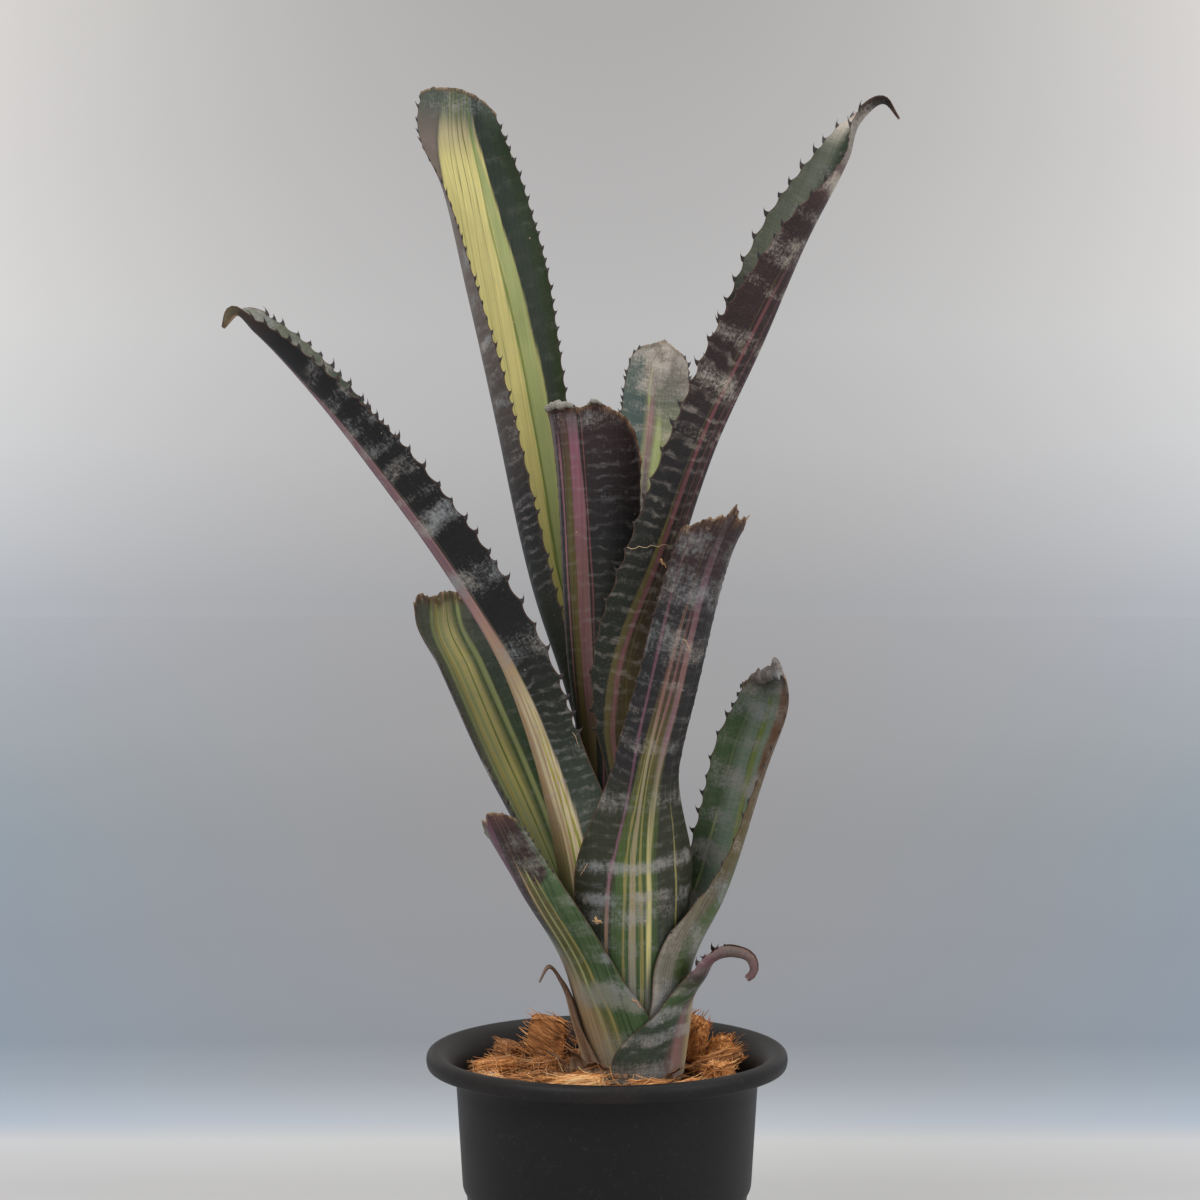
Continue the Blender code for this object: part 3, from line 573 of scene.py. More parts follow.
            ("dark_bark", 0.2, "0 -.45 -.25, 30 -.1 .1, 60 .3 .5", "straw", 0.4),
            ("bark", 0.2, "0 .45 .9, 30 .5 1, 60 .9 1", "tan", 0.5),
        ],
        bands="10 10 .4",
        ticks=(5, 60, 5, 0.2), dry=(30, 0.6), haze=0.2,
    ),
    "leaf_dried_stub_face": dict(
        base="0 bark, 60 tan",
        ticks=(5, 60, 5, 0.1), dry=(60, 0.75),
    ),
}


# ---------------------------------------------------------------- leaf shapes

def compass(degrees):
    angle = np.radians(degrees)
    return np.stack([np.cos(angle), np.sin(angle), np.zeros_like(angle)], axis=-1)


def square_to(v, axis):
    return unit(v - (v * axis).sum(-1, keepdims=True) * axis)


def surface_normals(grid):
    return unit(np.cross(np.gradient(grid, axis=1), np.gradient(grid, axis=0)))


def leaf_stations(leaf):
    """Rows of x, y, z, way, width, bend, and the last row of the base."""
    rise = (VASE_RADII[1] - VASE_RADII[0]) / VASE_HEIGHTS[1]
    shell = SHELL_PITCH * leaf["rank"]
    foot, top = (STEM_FOOT_RADIUS - VASE_RADII[0] - shell) / (STEM_TAPER + rise), leaf["leaves_at"]
    count = max(2, round((top - foot) / STATION_STEP))
    wide, narrow = leaf["wrap"]
    outward = square_to(compass(leaf["way"]), AXIS)
    base = []
    for part in np.linspace(0, 1, count + 1):
        height = foot + (top - foot) * part
        half = wide + (narrow - wide) * part ** leaf["ease"]
        radius = float(monotone(VASE_HEIGHTS, VASE_RADII, height)) + shell
        point = ROSETTE_FOOT + AXIS * height + outward * radius
        base.append((*point, leaf["way"], 2 * math.radians(half) * radius, 2 * half))
    return np.array(base + rows(leaf["blade"])), count


class Blade:
    """A leaf's middle surface, as a function of distance along (t) and place across (u)."""

    def __init__(self, leaf):
        stations, last_base = leaf_stations(leaf)
        points = stations[:, :3]
        lengths = np.linalg.norm(np.diff(points, axis=0), axis=1)
        knots = np.concatenate([[0], np.cumsum(lengths)])
        self.total, self.base_end = knots[-1], knots[last_base]
        t = np.arange(0, self.total + FRAME_STEP, FRAME_STEP)
        t[-1] = self.total
        ahead = smooth_path(knots, points, np.minimum(t + FRAME_STEP, self.total))
        behind = smooth_path(knots, points, np.maximum(t - FRAME_STEP, 0))
        turned = ease_in_out((t - self.base_end) / TURN_LENGTH)[:, None]
        along = unit(AXIS * (1 - turned) + unit(ahead - behind) * turned)
        way, width, bend = (monotone(knots, stations[:, k], t) for k in (3, 4, 5))
        side = square_to(compass(way + 90), along)
        keel = 1 + (leaf["keel"] - 1) * ease_in_out((t - self.base_end) / KEEL_LENGTH)
        self.t = t
        self.columns = np.column_stack([
            smooth_path(knots, points, t), side, np.cross(side, along), width, np.radians(bend), keel,
        ])

    def width(self, t):
        return np.interp(t, self.t, self.columns[:, 9])

    def at(self, t, u, inset=0.0):
        """Points on the surface; inset draws the margins in by so many millimetres."""
        c = np.stack([np.interp(t, self.t, column) for column in self.columns.T], -1)
        point, side, out = c[..., :3], c[..., 3:6], c[..., 6:9]
        width, bend, keel = np.moveaxis(c[..., 9:], -1, 0)
        reach = np.abs(u) * (1 - inset / np.maximum(width / 2, 1.0))
        samples = (np.arange(BEND_SAMPLES) + 0.5) / BEND_SAMPLES
        angle = bend[..., None] / 2 * (reach[..., None] * samples) ** keel[..., None]
        sideways = np.sign(u) * reach * width / 2 * np.cos(angle).mean(-1)
        inward = reach * width / 2 * np.sin(angle).mean(-1)
        return point + side * sideways[..., None] - out * inward[..., None]


def spine_places(leaf, rng):
    """Distances along each margin where a spine stands, for u = -1 and u = +1."""
    first, last, spacing, _ = leaf["spines"]
    places = {}
    for side in (-1, 1):
        t, found = first + spacing * rng.random(), []
        while t < last:
            found.append(t)
            closer = 1 - 0.45 * (t - first) / max(last - first, 1)
            t += spacing * closer * rng.uniform(0.62, 1.3)
        places[side] = found
    return places


def scallops(t, places, depth):
    """How far the margin draws in between its spines."""
    if len(places) < 2:
        return np.zeros_like(t)
    knots = np.array(places)
    i = np.clip(np.searchsorted(knots, t) - 1, 0, len(knots) - 2)
    phase = np.clip((t - knots[i]) / (knots[i + 1] - knots[i]), 0, 1)
    return depth * np.sin(np.pi * phase) ** 0.8


def spine_rings(blade, side, t, length, rng):
    """One hooked thorn: rings of points from its broad foot to its tip."""
    here, before = blade.at(np.array([t, t - SPINE_FROM_TIP]), np.array([side, side]))
    inner = blade.at(np.array([t]), np.array([side * 0.94]))[0]
    up = unit(here - before)
    out = unit(here - inner)
    out = unit(out - out.dot(up) * up)
    flat = np.cross(up, out)
    hook = rng.uniform(0.55, 1.0)
    twist = rng.uniform(-0.25, 0.25)
    rings = []
    for s in SPINE_STEPS:
        centre = here + out * (length * (s - 0.22 * s * s) - SPINE_SUNK)
        centre = centre + up * (hook * length * s * s * 0.8 - 0.2) + flat * twist * length * s * s
        broad = 1.25 * (1 - s) ** 1.5 + 0.05
        thin = 0.34 * (1 - s) ** 0.8 + 0.04
        rings.append([centre + up * broad * x + flat * thin * y for x, y in circle(SPINE_SIDES)])
    return np.array(rings)


# ---------------------------------------------------------------- mesh building

def add_object(name, data):
    obj = bpy.data.objects.new(name, data)
    bpy.context.scene.collection.objects.link(obj)
    return obj


def add_mesh(name, points, faces, materials, sharp=50.0):
    """An object from points in millimetres."""
    mesh = bpy.data.meshes.new(name)
    mesh.from_pydata((np.asarray(points, float) * MM).tolist(), [], faces)
    for material in materials:
        mesh.materials.append(material)
    mesh.shade_smooth()
    mesh.set_sharp_from_angle(angle=math.radians(sharp))
    return add_object(name, mesh)


class Parts:
    """Collects points and faces, with a material for each face and pairs of coordinates for each point."""

    def __init__(self, *layers):
        self.points, self.faces, self.kinds = [], [], []
        self.layers = {name: [] for name in layers}

    def add(self, points, faces, kind=0, **layers):
        start = sum(map(len, self.points))
        points = np.asarray(points, float).reshape(-1, 3)
        self.points.append(points)
        self.faces += [[start + i for i in face] for face in faces]
        self.kinds += kind if isinstance(kind, list) else [kind] * len(faces)
        for name, values in self.layers.items():
            given = np.asarray(layers.get(name, (0.0, 0.0)), float)
            values.append(np.broadcast_to(given.reshape(-1, 2), (len(points), 2)))

    def build(self, name, materials, sharp=50.0):
        obj = add_mesh(name, np.concatenate(self.points), self.faces, materials, sharp)
        mesh = obj.data
        mesh.polygons.foreach_set("material_index", self.kinds)
        corners = np.zeros(len(mesh.loops), dtype=np.int32)
        mesh.loops.foreach_get("vertex_index", corners)
        for layer, values in self.layers.items():
            uv = mesh.uv_layers.new(name=layer)
            uv.data.foreach_set("uv", np.concatenate(values)[corners].ravel())
        mesh.validate()
        return obj


def circle(sides):
    angles = np.arange(sides) * FULL_TURN / sides
    return np.stack([np.cos(angles), np.sin(angles)], -1)


def beside(columns, value):
    """The columns with one more, of a single value."""
    return np.column_stack([columns, np.full(len(columns), value)])


def ring_quads(rings, sides, inside_out=False):
    """Quads between closed rings of points."""
    ring, i = np.mgrid[0:rings - 1, 0:sides]
    a, b = ring * sides + i, ring * sides + (i + 1) % sides
    corners = (b, a, a + sides, b + sides) if inside_out else (a, b, b + sides, a + sides)
    return np.stack(corners, -1).reshape(-1, 4).tolist()


def tube_faces(rings, sides):
    return ring_quads(rings, sides) + [
        list(reversed(range(sides))), [(rings - 1) * sides + i for i in range(sides)],
    ]


def sheet_faces(count, columns):
    """Two equal sheets of quads, the second counted after the first, joined round their edge.

    Also gives how many quads one sheet has.
    """
    j, i = np.mgrid[0:count - 1, 0:columns - 1]
    a = (j * columns + i).ravel()
    sheet = np.column_stack([a, a + 1, a + columns + 1, a + columns])
    loop = list(range(columns))
    loop += [j * columns + columns - 1 for j in range(1, count)]
    loop += [(count - 1) * columns + i for i in range(columns - 2, -1, -1)]
    loop += [j * columns for j in range(count - 2, 0, -1)]
    under = count * columns
    rim = [[b, a, under + a, under + b] for a, b in zip(loop, loop[1:] + loop[:1])]
    return sheet.tolist() + (sheet[:, ::-1] + under).tolist() + rim, len(sheet)


def both_sheets(layers):
    return {name: np.tile(values.reshape(-1, 2), (2, 1)) for name, values in layers.items()}


def rolled_edge(middle, normal, u, first, last, radius, turns):
    """The torn end rolled up: its two sheets of points, back first, and their size."""
    pick = (u >= first) & (u <= last)
    edge, along, out = middle[-1, pick], unit(middle[-1] - middle[-3])[pick], normal[-1, pick]
    side, count = math.copysign(1, radius), pick.sum()
    swell = np.sin(np.pi * np.linspace(0.08, 0.92, count)) ** 0.6
    swell = (abs(radius) * swell * (1 + 0.25 * rough(u[pick] * 5, 7, 3)))[:, None]
    turn = np.linspace(0, FULL_TURN * turns, ROLL_ROWS)[:, None, None]
    coil = 1 - 0.22 * turn / FULL_TURN
    ray = along * np.sin(turn) - side * out * np.cos(turn)
    centre = edge + side * out * swell
    sheets = [centre + ray * (swell * coil + k * side * MARGIN_THICKNESS / 2) for k in (-1, 1)]
    return np.concatenate([sheet.reshape(-1, 3) for sheet in sheets]), len(turn), int(count)


def add_spines(parts, leaf, blade, places, rng, t, middle):
    """Thorns on both margins, moved with the margin's ripples."""
    for side, column in ((-1, 0), (1, -1)):
        end = t[-1, column]
        for place in places[side]:
            if place > end:
                continue
            worn = WORN_LENGTH if rng.random() < WORN_SHARE else 1.0
            length = leaf["spines"][3] * rng.uniform(0.7, 1.1) * worn
            foot = min(place, end - SPINE_FROM_TIP)
            rings = spine_rings(blade, side, foot, length, rng)
            margin = [np.interp(foot, t[:, column], middle[:, column, k]) for k in range(3)]
            plain = blade.at(np.array([foot]), np.array([side]))[0]
            parts.add(rings + (margin - plain), tube_faces(len(rings), SPINE_SIDES), THORN)


def make_leaf(name, leaf):
    """A leaf's blade with its thorns, as one closed piece and many small ones on it."""
    rng = random.Random(name)
    seed = leaf["rank"] + 1
    blade = Blade(leaf)
    places = spine_places(leaf, rng)
    u = np.linspace(-1, 1, COLUMNS + 1)
    u = np.sign(u) * (1 - (1 - np.abs(u)) ** 1.15)
    count = math.ceil(blade.total / ROW_STEP) + 1

    # the tip's outline: rows bunch up towards it
    drop = np.interp(u, *zip(*rows(leaf["tip"]))) + leaf["ragged"] * rough(u * 9, seed)
    drop = np.maximum(drop, 0)
    reach = max(BUNCH_LENGTH, 2 * drop.max())
    straight = np.linspace(0, 1, count)[:, None] * blade.total
    bunch = np.clip((straight - blade.total + reach) / reach, 0, 1) ** 1.5
    t = np.maximum(straight - drop[None, :] * bunch, 0)
    flat = np.broadcast_to(u, t.shape)

    depth = min(leaf["spines"][3] * SCALLOP_SHARE, SCALLOP_MOST)
    inset = np.zeros_like(t)
    for side in (-1, 1):
        edge = scallops(t, places[side], depth)
        inset = np.where(np.sign(flat) == side, edge * np.abs(flat) ** 4, inset)
    middle = blade.at(t, flat, inset)

    # ripples on the blade, and the torn edge bent over
    ripple = np.sin(t / 17.0 + seed * 2 + 1.3 * np.sin(t / 41.0 + seed)) * np.abs(flat) ** 2 * np.sign(flat)
    ripple += 0.6 * np.sin(t / 29.0 + seed * 5) * np.abs(flat) ** 1.5
    ripple *= leaf["wave"] * ease_in_out((t - blade.base_end) / RIPPLE_START)
    to_end = t.max(axis=0)[None, :] - t
    curl = leaf["curl"] * np.exp(-to_end / CURL_LENGTH) * (0.6 + 0.8 * rough(u * 4 + 9, seed, 2))[None, :]
    middle = middle + surface_normals(middle) * (ripple + curl)[..., None]

    normal = surface_normals(middle)
    thick = MARGIN_THICKNESS + (MIDRIB_THICKNESS - MARGIN_THICKNESS) * (1 - np.abs(flat) ** 1.6)
    thick = thick * np.interp(t, [0, blade.total * 0.4, blade.total], [0.95, 1.0, 0.6])
    half = blade.width(t) / 2
    faces, quads = sheet_faces(count, len(u))
    parts = Parts("blade", "skin", "edge")
    parts.add(
        [middle + normal * thick[..., None] / 2, middle - normal * thick[..., None] / 2], faces,
        [BACK] * quads + [FACE] * quads + [BACK] * (len(faces) - 2 * quads),
        **both_sheets(dict(
            blade=np.stack([(flat + 1) / 2, t / blade.total], -1),
            skin=np.stack([flat * half, t], -1) / SKIN_UNIT,
            edge=np.stack([to_end, (1 - np.abs(flat)) * half], -1) / SKIN_UNIT,
        )),
    )
    for roll in leaf["rolls"]:
        points, *size = rolled_edge(middle, normal, u, *roll)
        faces, quads = sheet_faces(*size)
        parts.add(points, faces, [BACK] * quads + [FACE] * (len(faces) - quads),
                  blade=(0.75, 0.985), skin=points[:, [0, 2]] / SKIN_UNIT, edge=(0.12, 0.05))
    add_spines(parts, leaf, blade, places, rng, t, middle)

    low, high = (np.array(corner) / MM for corner in cad_box)
    for points in parts.points:
        np.clip(points, low + BOX_MARGIN, high - BOX_MARGIN, out=points)
    sides = [leaf_material(name + side, leaf["rank"], blade.total) for side in ("_back", "_face")]
    piece = parts.build(name + "_blade", sides + [bpy.data.materials["thorn"]])
    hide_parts(name)
    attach(piece, "root")


# ---------------------------------------------------------------- materials

class Value:
    """A number that a node gives; arithmetic with it adds math nodes."""

    def __init__(self, tree, socket):
        self.tree, self.socket = tree, socket

    def __add__(self, other):
        return self.tree.math("ADD", self, other)

    def __sub__(self, other):
        return self.tree.math("SUBTRACT", self, other)

    def __mul__(self, other):
        return self.tree.math("MULTIPLY", self, other)

    def __truediv__(self, other):
        return self.tree.math("DIVIDE", self, other)

    def __rtruediv__(self, other):
        return self.tree.math("DIVIDE", other, self)

    __radd__, __rmul__ = __add__, __mul__


class Tree:
    """A material and short ways to add nodes to it."""

    def __init__(self, name, holder=None):
        self.material = holder or bpy.data.materials.new(name)
        self.material.use_nodes = True
        self.nodes = self.material.node_tree.nodes
        self.shader = self.nodes.get("Principled BSDF")

    def put(self, socket, value):
        """Sets a socket to a number, a value, another socket or a colour's name."""
        if isinstance(value, str):
            value = COLOURS[value]
        elif isinstance(value, Value):
            value = value.socket
        if isinstance(value, bpy.types.NodeSocket):
            self.material.node_tree.links.new(value, socket)
        else:
            socket.default_value = value

    def add(self, kind, inputs, **settings):
        """A new node; inputs are as fill() takes them."""
        node = self.nodes.new("ShaderNode" + kind)
        for key, setting in settings.items():
            setattr(node, key, setting)
        return self.fill(node, inputs)

    def fill(self, node, inputs):
        """Sets a node's inputs, given in order, or by name or number."""
        for key, value in inputs.items() if isinstance(inputs, dict) else enumerate(inputs):
            self.put(node.inputs[key], value)
        return node

    def math(self, kind, *values):
        return Value(self, self.add("Math", values, operation=kind).outputs[0])

    def most(self, a, b):
        return self.math("MAXIMUM", a, b)

    def mix(self, factor, a, b):
        return self.add("Mix", {0: factor, 6: a, 7: b}, data_type="RGBA").outputs[2]

    def scale(self, colour, factor):
        if isinstance(colour, str):
            colour = COLOURS[colour][:3]
        return self.add("VectorMath", {0: colour, "Scale": factor}, operation="SCALE").outputs[0]

    def place(self, vector, stretch, shift=(0, 0, 0)):
        return self.add("VectorMath", (vector, stretch, shift), operation="MULTIPLY_ADD").outputs[0]

    def uv(self, name):
        return self.add("UVMap", (), uv_map=name).outputs[0]

    def position(self):
        return self.nodes.new("ShaderNodeTexCoord").outputs["Object"]

    def split(self, vector):
        return [Value(self, part) for part in self.add("SeparateXYZ", (vector,)).outputs]

    def noise(self, vector, scale=1.0, detail=2.0, rough_by=0.5, twist=0.0):
        inputs = dict(Vector=vector, Scale=scale, Detail=detail, Roughness=rough_by, Distortion=twist)
        return Value(self, self.add("TexNoise", inputs).outputs["Fac"])

    def smooth(self, value, low, high):
        """0 at low and 1 at high, easing in and out; low may be the greater."""
        node = self.add("MapRange", (value, low, high), interpolation_type="SMOOTHSTEP")
        return Value(self, node.outputs[0])

    def curve(self, value, points):
        """A smooth curve through points given for values from 0 to 1."""
        node = self.add("FloatCurve", {"Value": value})
        node.mapping.use_clip = False
        line = node.mapping.curves[0]
        points = [(0.0, points[0][1])] * (points[0][0] > 0) + list(points)
        points += [(1.0, points[-1][1])] * (points[-1][0] < 1)
        line.points[0].location, line.points[-1].location = points[0], points[-1]
        for x, y in points[1:-1]:
            line.points.new(x, y)
        for point in line.points:
            point.handle_type = "AUTO_CLAMPED"
        node.mapping.update()
        return Value(self, node.outputs[0])

    def ramp(self, value, colours):
        """Colours, by name or as linear light, along a value."""
        node = self.add("ValToRGB", (value,))
        band = node.color_ramp.elements
        while len(band) < len(colours):
            band.new(1.0)
        for element, (at, colour) in zip(band, colours):
            element.position = min(max(at, 0.0), 1.0)
            element.color = COLOURS[colour] if isinstance(colour, str) else (*colour, 1.0)
        return node.outputs[0]

    def finish(self, colour, roughness, height, bump, distance, specular=0.5):
        """Completes the material; distance is the bump's, in millimetres."""
        bumps = self.add("Bump", {"Strength": bump, "Distance": distance * MM, "Height": height})
        self.fill(self.shader, {"Normal": bumps.outputs[0], "Base Color": colour, "Roughness": roughness,
                                "Specular IOR Level": specular})
        return self.material


def band_curve(bands, total, step=2.0):
    """Density of the silver bands along a leaf, as points of a curve."""
    t = np.arange(0, total + step, step)
    density = np.zeros_like(t)
    for centre, half, strength in bands:
        far = np.abs(t - centre) / (half * BAND_REACH)
        density = np.maximum(density, strength * np.exp(-far ** BAND_SQUARENESS))
    return [(min(a / total, 1.0), float(b)) for a, b in zip(t, density)]


def leaf_material(name, rank, total, look=None):
    """One side of a leaf: striped flesh under silver crossbands of scales."""
    look = {**PLAIN_LOOK, **LOOKS[look or name]}
    tree = Tree(name)
    smooth, mix = tree.smooth, tree.mix
    across, along, _ = tree.split(tree.uv("blade"))
    skin = tree.uv("skin")
    to_end, from_margin, _ = tree.split(tree.uv("edge"))
    to_end, from_margin = to_end * SKIN_UNIT, from_margin * SKIN_UNIT
    seed = rank * 13.7 + len(name)

    def skin_noise(x, y, detail=2.0, rough_by=0.5, shift=0.0, twist=0.0):
        """Noise with so many cycles in a millimetre across and along."""
        place = tree.place(skin, (x * SKIN_UNIT, y * SKIN_UNIT, 0), (shift, 0, seed + shift))
        return tree.noise(place, 1.0, detail, rough_by, twist)

    def within(path, soft):
        """1 between the left and the right border."""
        left, right = (tree.curve(along, [(row[0] / total, row[k]) for row in path]) for k in (1, 2))
        return smooth(u - left, -soft, soft) * smooth(right - u, -soft, soft)

    veins = skin_noise(1.0, 0.011, 3, 0.6)
    fine_veins = skin_noise(3.4, 0.03, 2, 0.5, 2.0)
    sway = skin_noise(0.16, 0.012, 2, 0.5, 4.0)
    blotch = skin_noise(0.06, 0.035, 3, 0.55, 6.0)
    grain = skin_noise(0.85, 0.7, 4, 0.68, 8.0)
    fine_grain = skin_noise(1.9, 1.5, 3, 0.65, 9.0)
    hatch = skin_noise(0.12, 1.6, 4, 0.7, 30.0)
    u = across * 2.0 + sway * 0.10 + veins * 0.07 - 1.085

    # flesh
    colour = tree.scale(tree.ramp(along, stops(look["base"], total)), hatch * 1.1 + 0.45)
    for paint, soft, path, *streak in look["stripes"]:
        if " " in paint:
            paint = tree.ramp(along, stops(paint, total))
        if streak:
            lines = smooth(skin_noise(1.5, 0.01, 2, 0.6, 10.0 + soft * 90), 0.5, 0.64)
            paint = mix(lines * streak[1], paint, streak[0])
        colour = mix(within(rows(path), soft), colour, paint)
    colour = tree.scale(colour, veins * 0.5 + fine_veins * 0.34 + blotch * 0.5 + 0.32)

    # silver scales: crossbands in patches, fine rings between them, and an even dust
    warp = skin_noise(0.05, 0.04, 2, 0.5, 12.0) * 9.0 - 4.5
    ripple = skin_noise(0.35, 0.25, 3, 0.6, 14.0) * 2.4 - 1.2
    where = along + (warp + ripple) * (1 / total)
    density = tree.curve(where, band_curve(rows(look["bands"]), total)) if look["bands"] else 0.0
    left, right = look["lean"]
    patches = skin_noise(0.1, 0.08, 3, 0.6, 16.0)
    steep, start = look["clumps"]
    density = density * (across * (right - left) + left) * tree.most(patches * steep + start, 0.1)
    blurred_foot = blotch * (16 / total) + along
    density = density + smooth(blurred_foot, 38 / total, 4 / total) * look["foot"]
    strands = skin_noise(1.5, 0.12, 3, 0.6, 17.0)
    streaks = skin_noise(0.18, 1.1, 4, 0.65, 18.0, 0.5)
    cover = density * 0.72 + grain * 1.5 + strands * 0.65 + streaks * 0.75 - 1.95

    first, last, spacing, strength = look["ticks"]
    fade = (smooth(along, (first - 10) / total, (first + 10) / total)
            * smooth(along, (last + 5) / total, (last - 10) / total))
    wave = tree.math("SINE", where * (FULL_TURN * total / spacing) + patches * 11.0)
    wave = smooth(wave, 0.0, 1.15) * fade * (hatch * 2.6 - 0.55)
    uneven = smooth(skin_noise(0.2, 0.16, 3, 0.6, 19.0), 0.42, 0.66) * 0.85 + 0.15
    haze = smooth(fine_grain, 0.55, 0.78) * look["haze"]
    mask = tree.most(tree.most(smooth(cover, -0.3, 0.82), wave * uneven * strength), haze)
    silver = mix(smooth(blotch, 0.35, 0.65), *look["scales"])
    colour = mix(mask * look["opaque"], colour, silver)

    # dried end, margin, specks
    length, share = look["dry"]
    frayed = skin_noise(0.35, 0.12, 3, 0.6, 22.0) * (-1.3 * length) + to_end
    dry = smooth(frayed, 0.35 * length, -0.45 * length)
    dead = mix(smooth(skin_noise(0.9, 0.12, 3, 0.6, 24.0), 0.3, 0.7), "dark_bark", "bark")
    dead = mix(smooth(skin_noise(0.5, 0.3, 3, 0.6, 26.0), 0.55, 0.75), dead, "tan")
    spots = tree.place(skin, (SKIN_UNIT, SKIN_UNIT, 0), (0, 0, seed))
    dots = tree.add("TexVoronoi", dict(Vector=spots, Scale=0.16)).outputs
    dot = smooth(dots["Distance"], 0.075, 0.03)
    for share_of_it, over in (
        (dry * share, dead),
        (smooth(to_end, 1.6, 0.2) * smooth(veins, 0.4, 0.6) * 0.6, "tan"),
        (smooth(from_margin, 0.95, 0.15) * smooth(grain, 0.3, 0.55) * look["edge"], "bark"),
        (smooth(from_margin, 0.4, 0.05) * 0.5, "dark_bark"),
        (dot * smooth(tree.split(dots["Color"])[0], 0.72, 0.78) * 0.6, "straw"),
    ):
        colour = mix(share_of_it, colour, over)

    roughness = mask * 0.22 + grain * 0.12 + dry * 0.12 + 0.44
    height = veins * 0.8 + fine_veins * 0.25 + mask * fine_grain * 0.8 + (streaks + hatch) * 0.3
    return tree.finish(colour, roughness, height, 0.5, 0.35, 0.25)


def thorn_material():
    tree = Tree("thorn")
    spots = tree.noise(tree.position(), 900.0, 3)
    colour = tree.mix(tree.smooth(spots, 0.4, 0.75), "thorn", "dark_bark")
    return tree.finish(colour, spots * 0.3 + 0.35, spots, 0.3, 0.1)


def plastic_material():
    """Black moulded polypropylene: satin, with faint drawing marks round it."""
    tree = Tree("pot_black_plastic")
    place = tree.position()
    _, _, z = tree.split(place)
    rings = tree.noise(tree.place(place, (6, 6, 900)), 1.0, 3, 0.6)
    orange_peel = tree.noise(place, 1400.0, 2)
    cloud = tree.noise(place, 28.0, 4, 0.6)
    dust = tree.noise(place, 420.0, 4, 0.7)
    scuffs = tree.noise(tree.place(place, (60, 60, 420), (0, 0, 3)), 1.0, 3, 0.7, 0.6)
    dusty = tree.smooth(dust, 0.56, 0.78) * 0.09
    near_rim = tree.smooth(z, (POT_HEIGHT - 16) * MM, (POT_HEIGHT - 4) * MM)
    colour = tree.scale("black_plastic", cloud * 0.5 + 0.72)
    colour = tree.mix(dusty, colour, "ash")
    colour = tree.mix(tree.smooth(scuffs, 0.64, 0.8) * 0.06, colour, "ash")
    # near the rim the black is lifted faintly towards brown: partly the lip's own brownish tone, partly a
    # painted highlight
    colour = tree.mix(near_rim * tree.smooth(cloud, 0.4, 0.65) * 0.05, colour, "bark")
    roughness = cloud * 0.16 + dusty * 1.2 + 0.42
    return tree.finish(colour, roughness, rings * 0.6 + orange_peel * 0.5, 0.25, 0.12, 0.25)


def husk_material():
    """Coir husk: each chip's own tone, with dark and bright fibres along its grain."""
    tree = Tree("coir_husk")
    smooth = tree.smooth
    along, across, _ = tree.split(tree.uv("grain"))
    through, tone, _ = tree.split(tree.uv("depth"))
    place = tree.add("CombineXYZ", (along, across, through)).outputs[0]

    def fibres(lengthwise, wide, detail, shift):
        stretch = (lengthwise * SKIN_UNIT, wide * SKIN_UNIT, wide * SKIN_UNIT)
        return tree.noise(tree.place(place, stretch, (shift, shift, shift)), 1.0, detail, 0.6, 0.3)

    coarse = fibres(0.05, 0.45, 3, 0.0)
    fine = fibres(0.12, 1.9, 3, 5.0)
    hair = fibres(0.2, 4.5, 2, 9.0)
    blotch = fibres(0.12, 0.16, 3, 15.0)
    value = coarse * 0.9 + fine * 0.8 + hair * 0.35 + blotch * 0.3 + tone * 0.55 - 1.03
    colour = tree.ramp(value, stops("0 soil, .16 husk_dark, .38 husk, .62 husk_bright, .9 husk_pale"))
    # painted shade: the chips darken towards soil colour from 6 mm above the medium's top down to it, where
    # they sit close together and shade each other
    low = smooth(tree.split(tree.position())[2], (MEDIUM_TOP + 6) * MM, (MEDIUM_TOP + 1) * MM)
    colour = tree.mix(low * 0.4, colour, "soil")
    grey = smooth(tone, 0.42, 0.36) * smooth(fine, 0.4, 0.65)
    colour = tree.mix(grey * 0.5, colour, "husk_tan")
    return tree.finish(colour, fine * 0.2 + 0.68, fine * 0.7 + hair * 0.4, 0.9, 0.5, 0.25)


def soil_material():
    tree = Tree("coir_dust")
    place = tree.position()
    lumps = tree.noise(place, 190.0, 5, 0.65)
    strands = tree.noise(tree.place(place, (260, 900, 500)), 1.0, 3, 0.6, 1.5)
    value = lumps * 0.7 + strands * 0.6 - 0.3
    colour = tree.ramp(value, stops(".2 soil, .42 husk_dark, .62 husk, .85 husk_bright"))
    return tree.finish(colour, 0.9, value, 0.8, 0.8, 0.2)


def fibre_material():
    """Loose coir fibres and dry leaf threads: straw to red-brown by each one's own tone."""
    tree = Tree("coir_fibre")
    _, tone, _ = tree.split(tree.uv("grain"))
    shade = tree.noise(tree.position(), 700.0, 3, 0.6)
    colour = tree.ramp(tone, stops("0 husk_dark, .35 husk, .65 husk_bright, 1 straw"))
    return tree.finish(tree.scale(colour, shade * 0.7 + 0.62), shade * 0.2 + 0.5, shade, 0.4, 0.1)


def bark_material():
    tree = Tree("stem_bark")
    place = tree.position()
    spots = tree.noise(place, 260.0, 4, 0.6)
    fibrous = tree.noise(tree.place(place, (900, 900, 90)), 1.0, 3, 0.6)
    value = spots * 0.5 + fibrous * 0.5
    return tree.finish(tree.ramp(value, stops(".3 dark_bark, .5 bark, .7 tan")), 0.75, value, 0.6, 0.5)


# ---------------------------------------------------------------- pot

def wall_radius(height):
    """The pot's outside radius, which steps in below STEP_HEIGHT."""
    full = POT_FOOT_RADIUS + STEP_DEPTH
    radius = full + (NECK_RADIUS - full) * height / (POT_HEIGHT - NECK_DROP)
    return radius if height > STEP_HEIGHT else radius - STEP_DEPTH


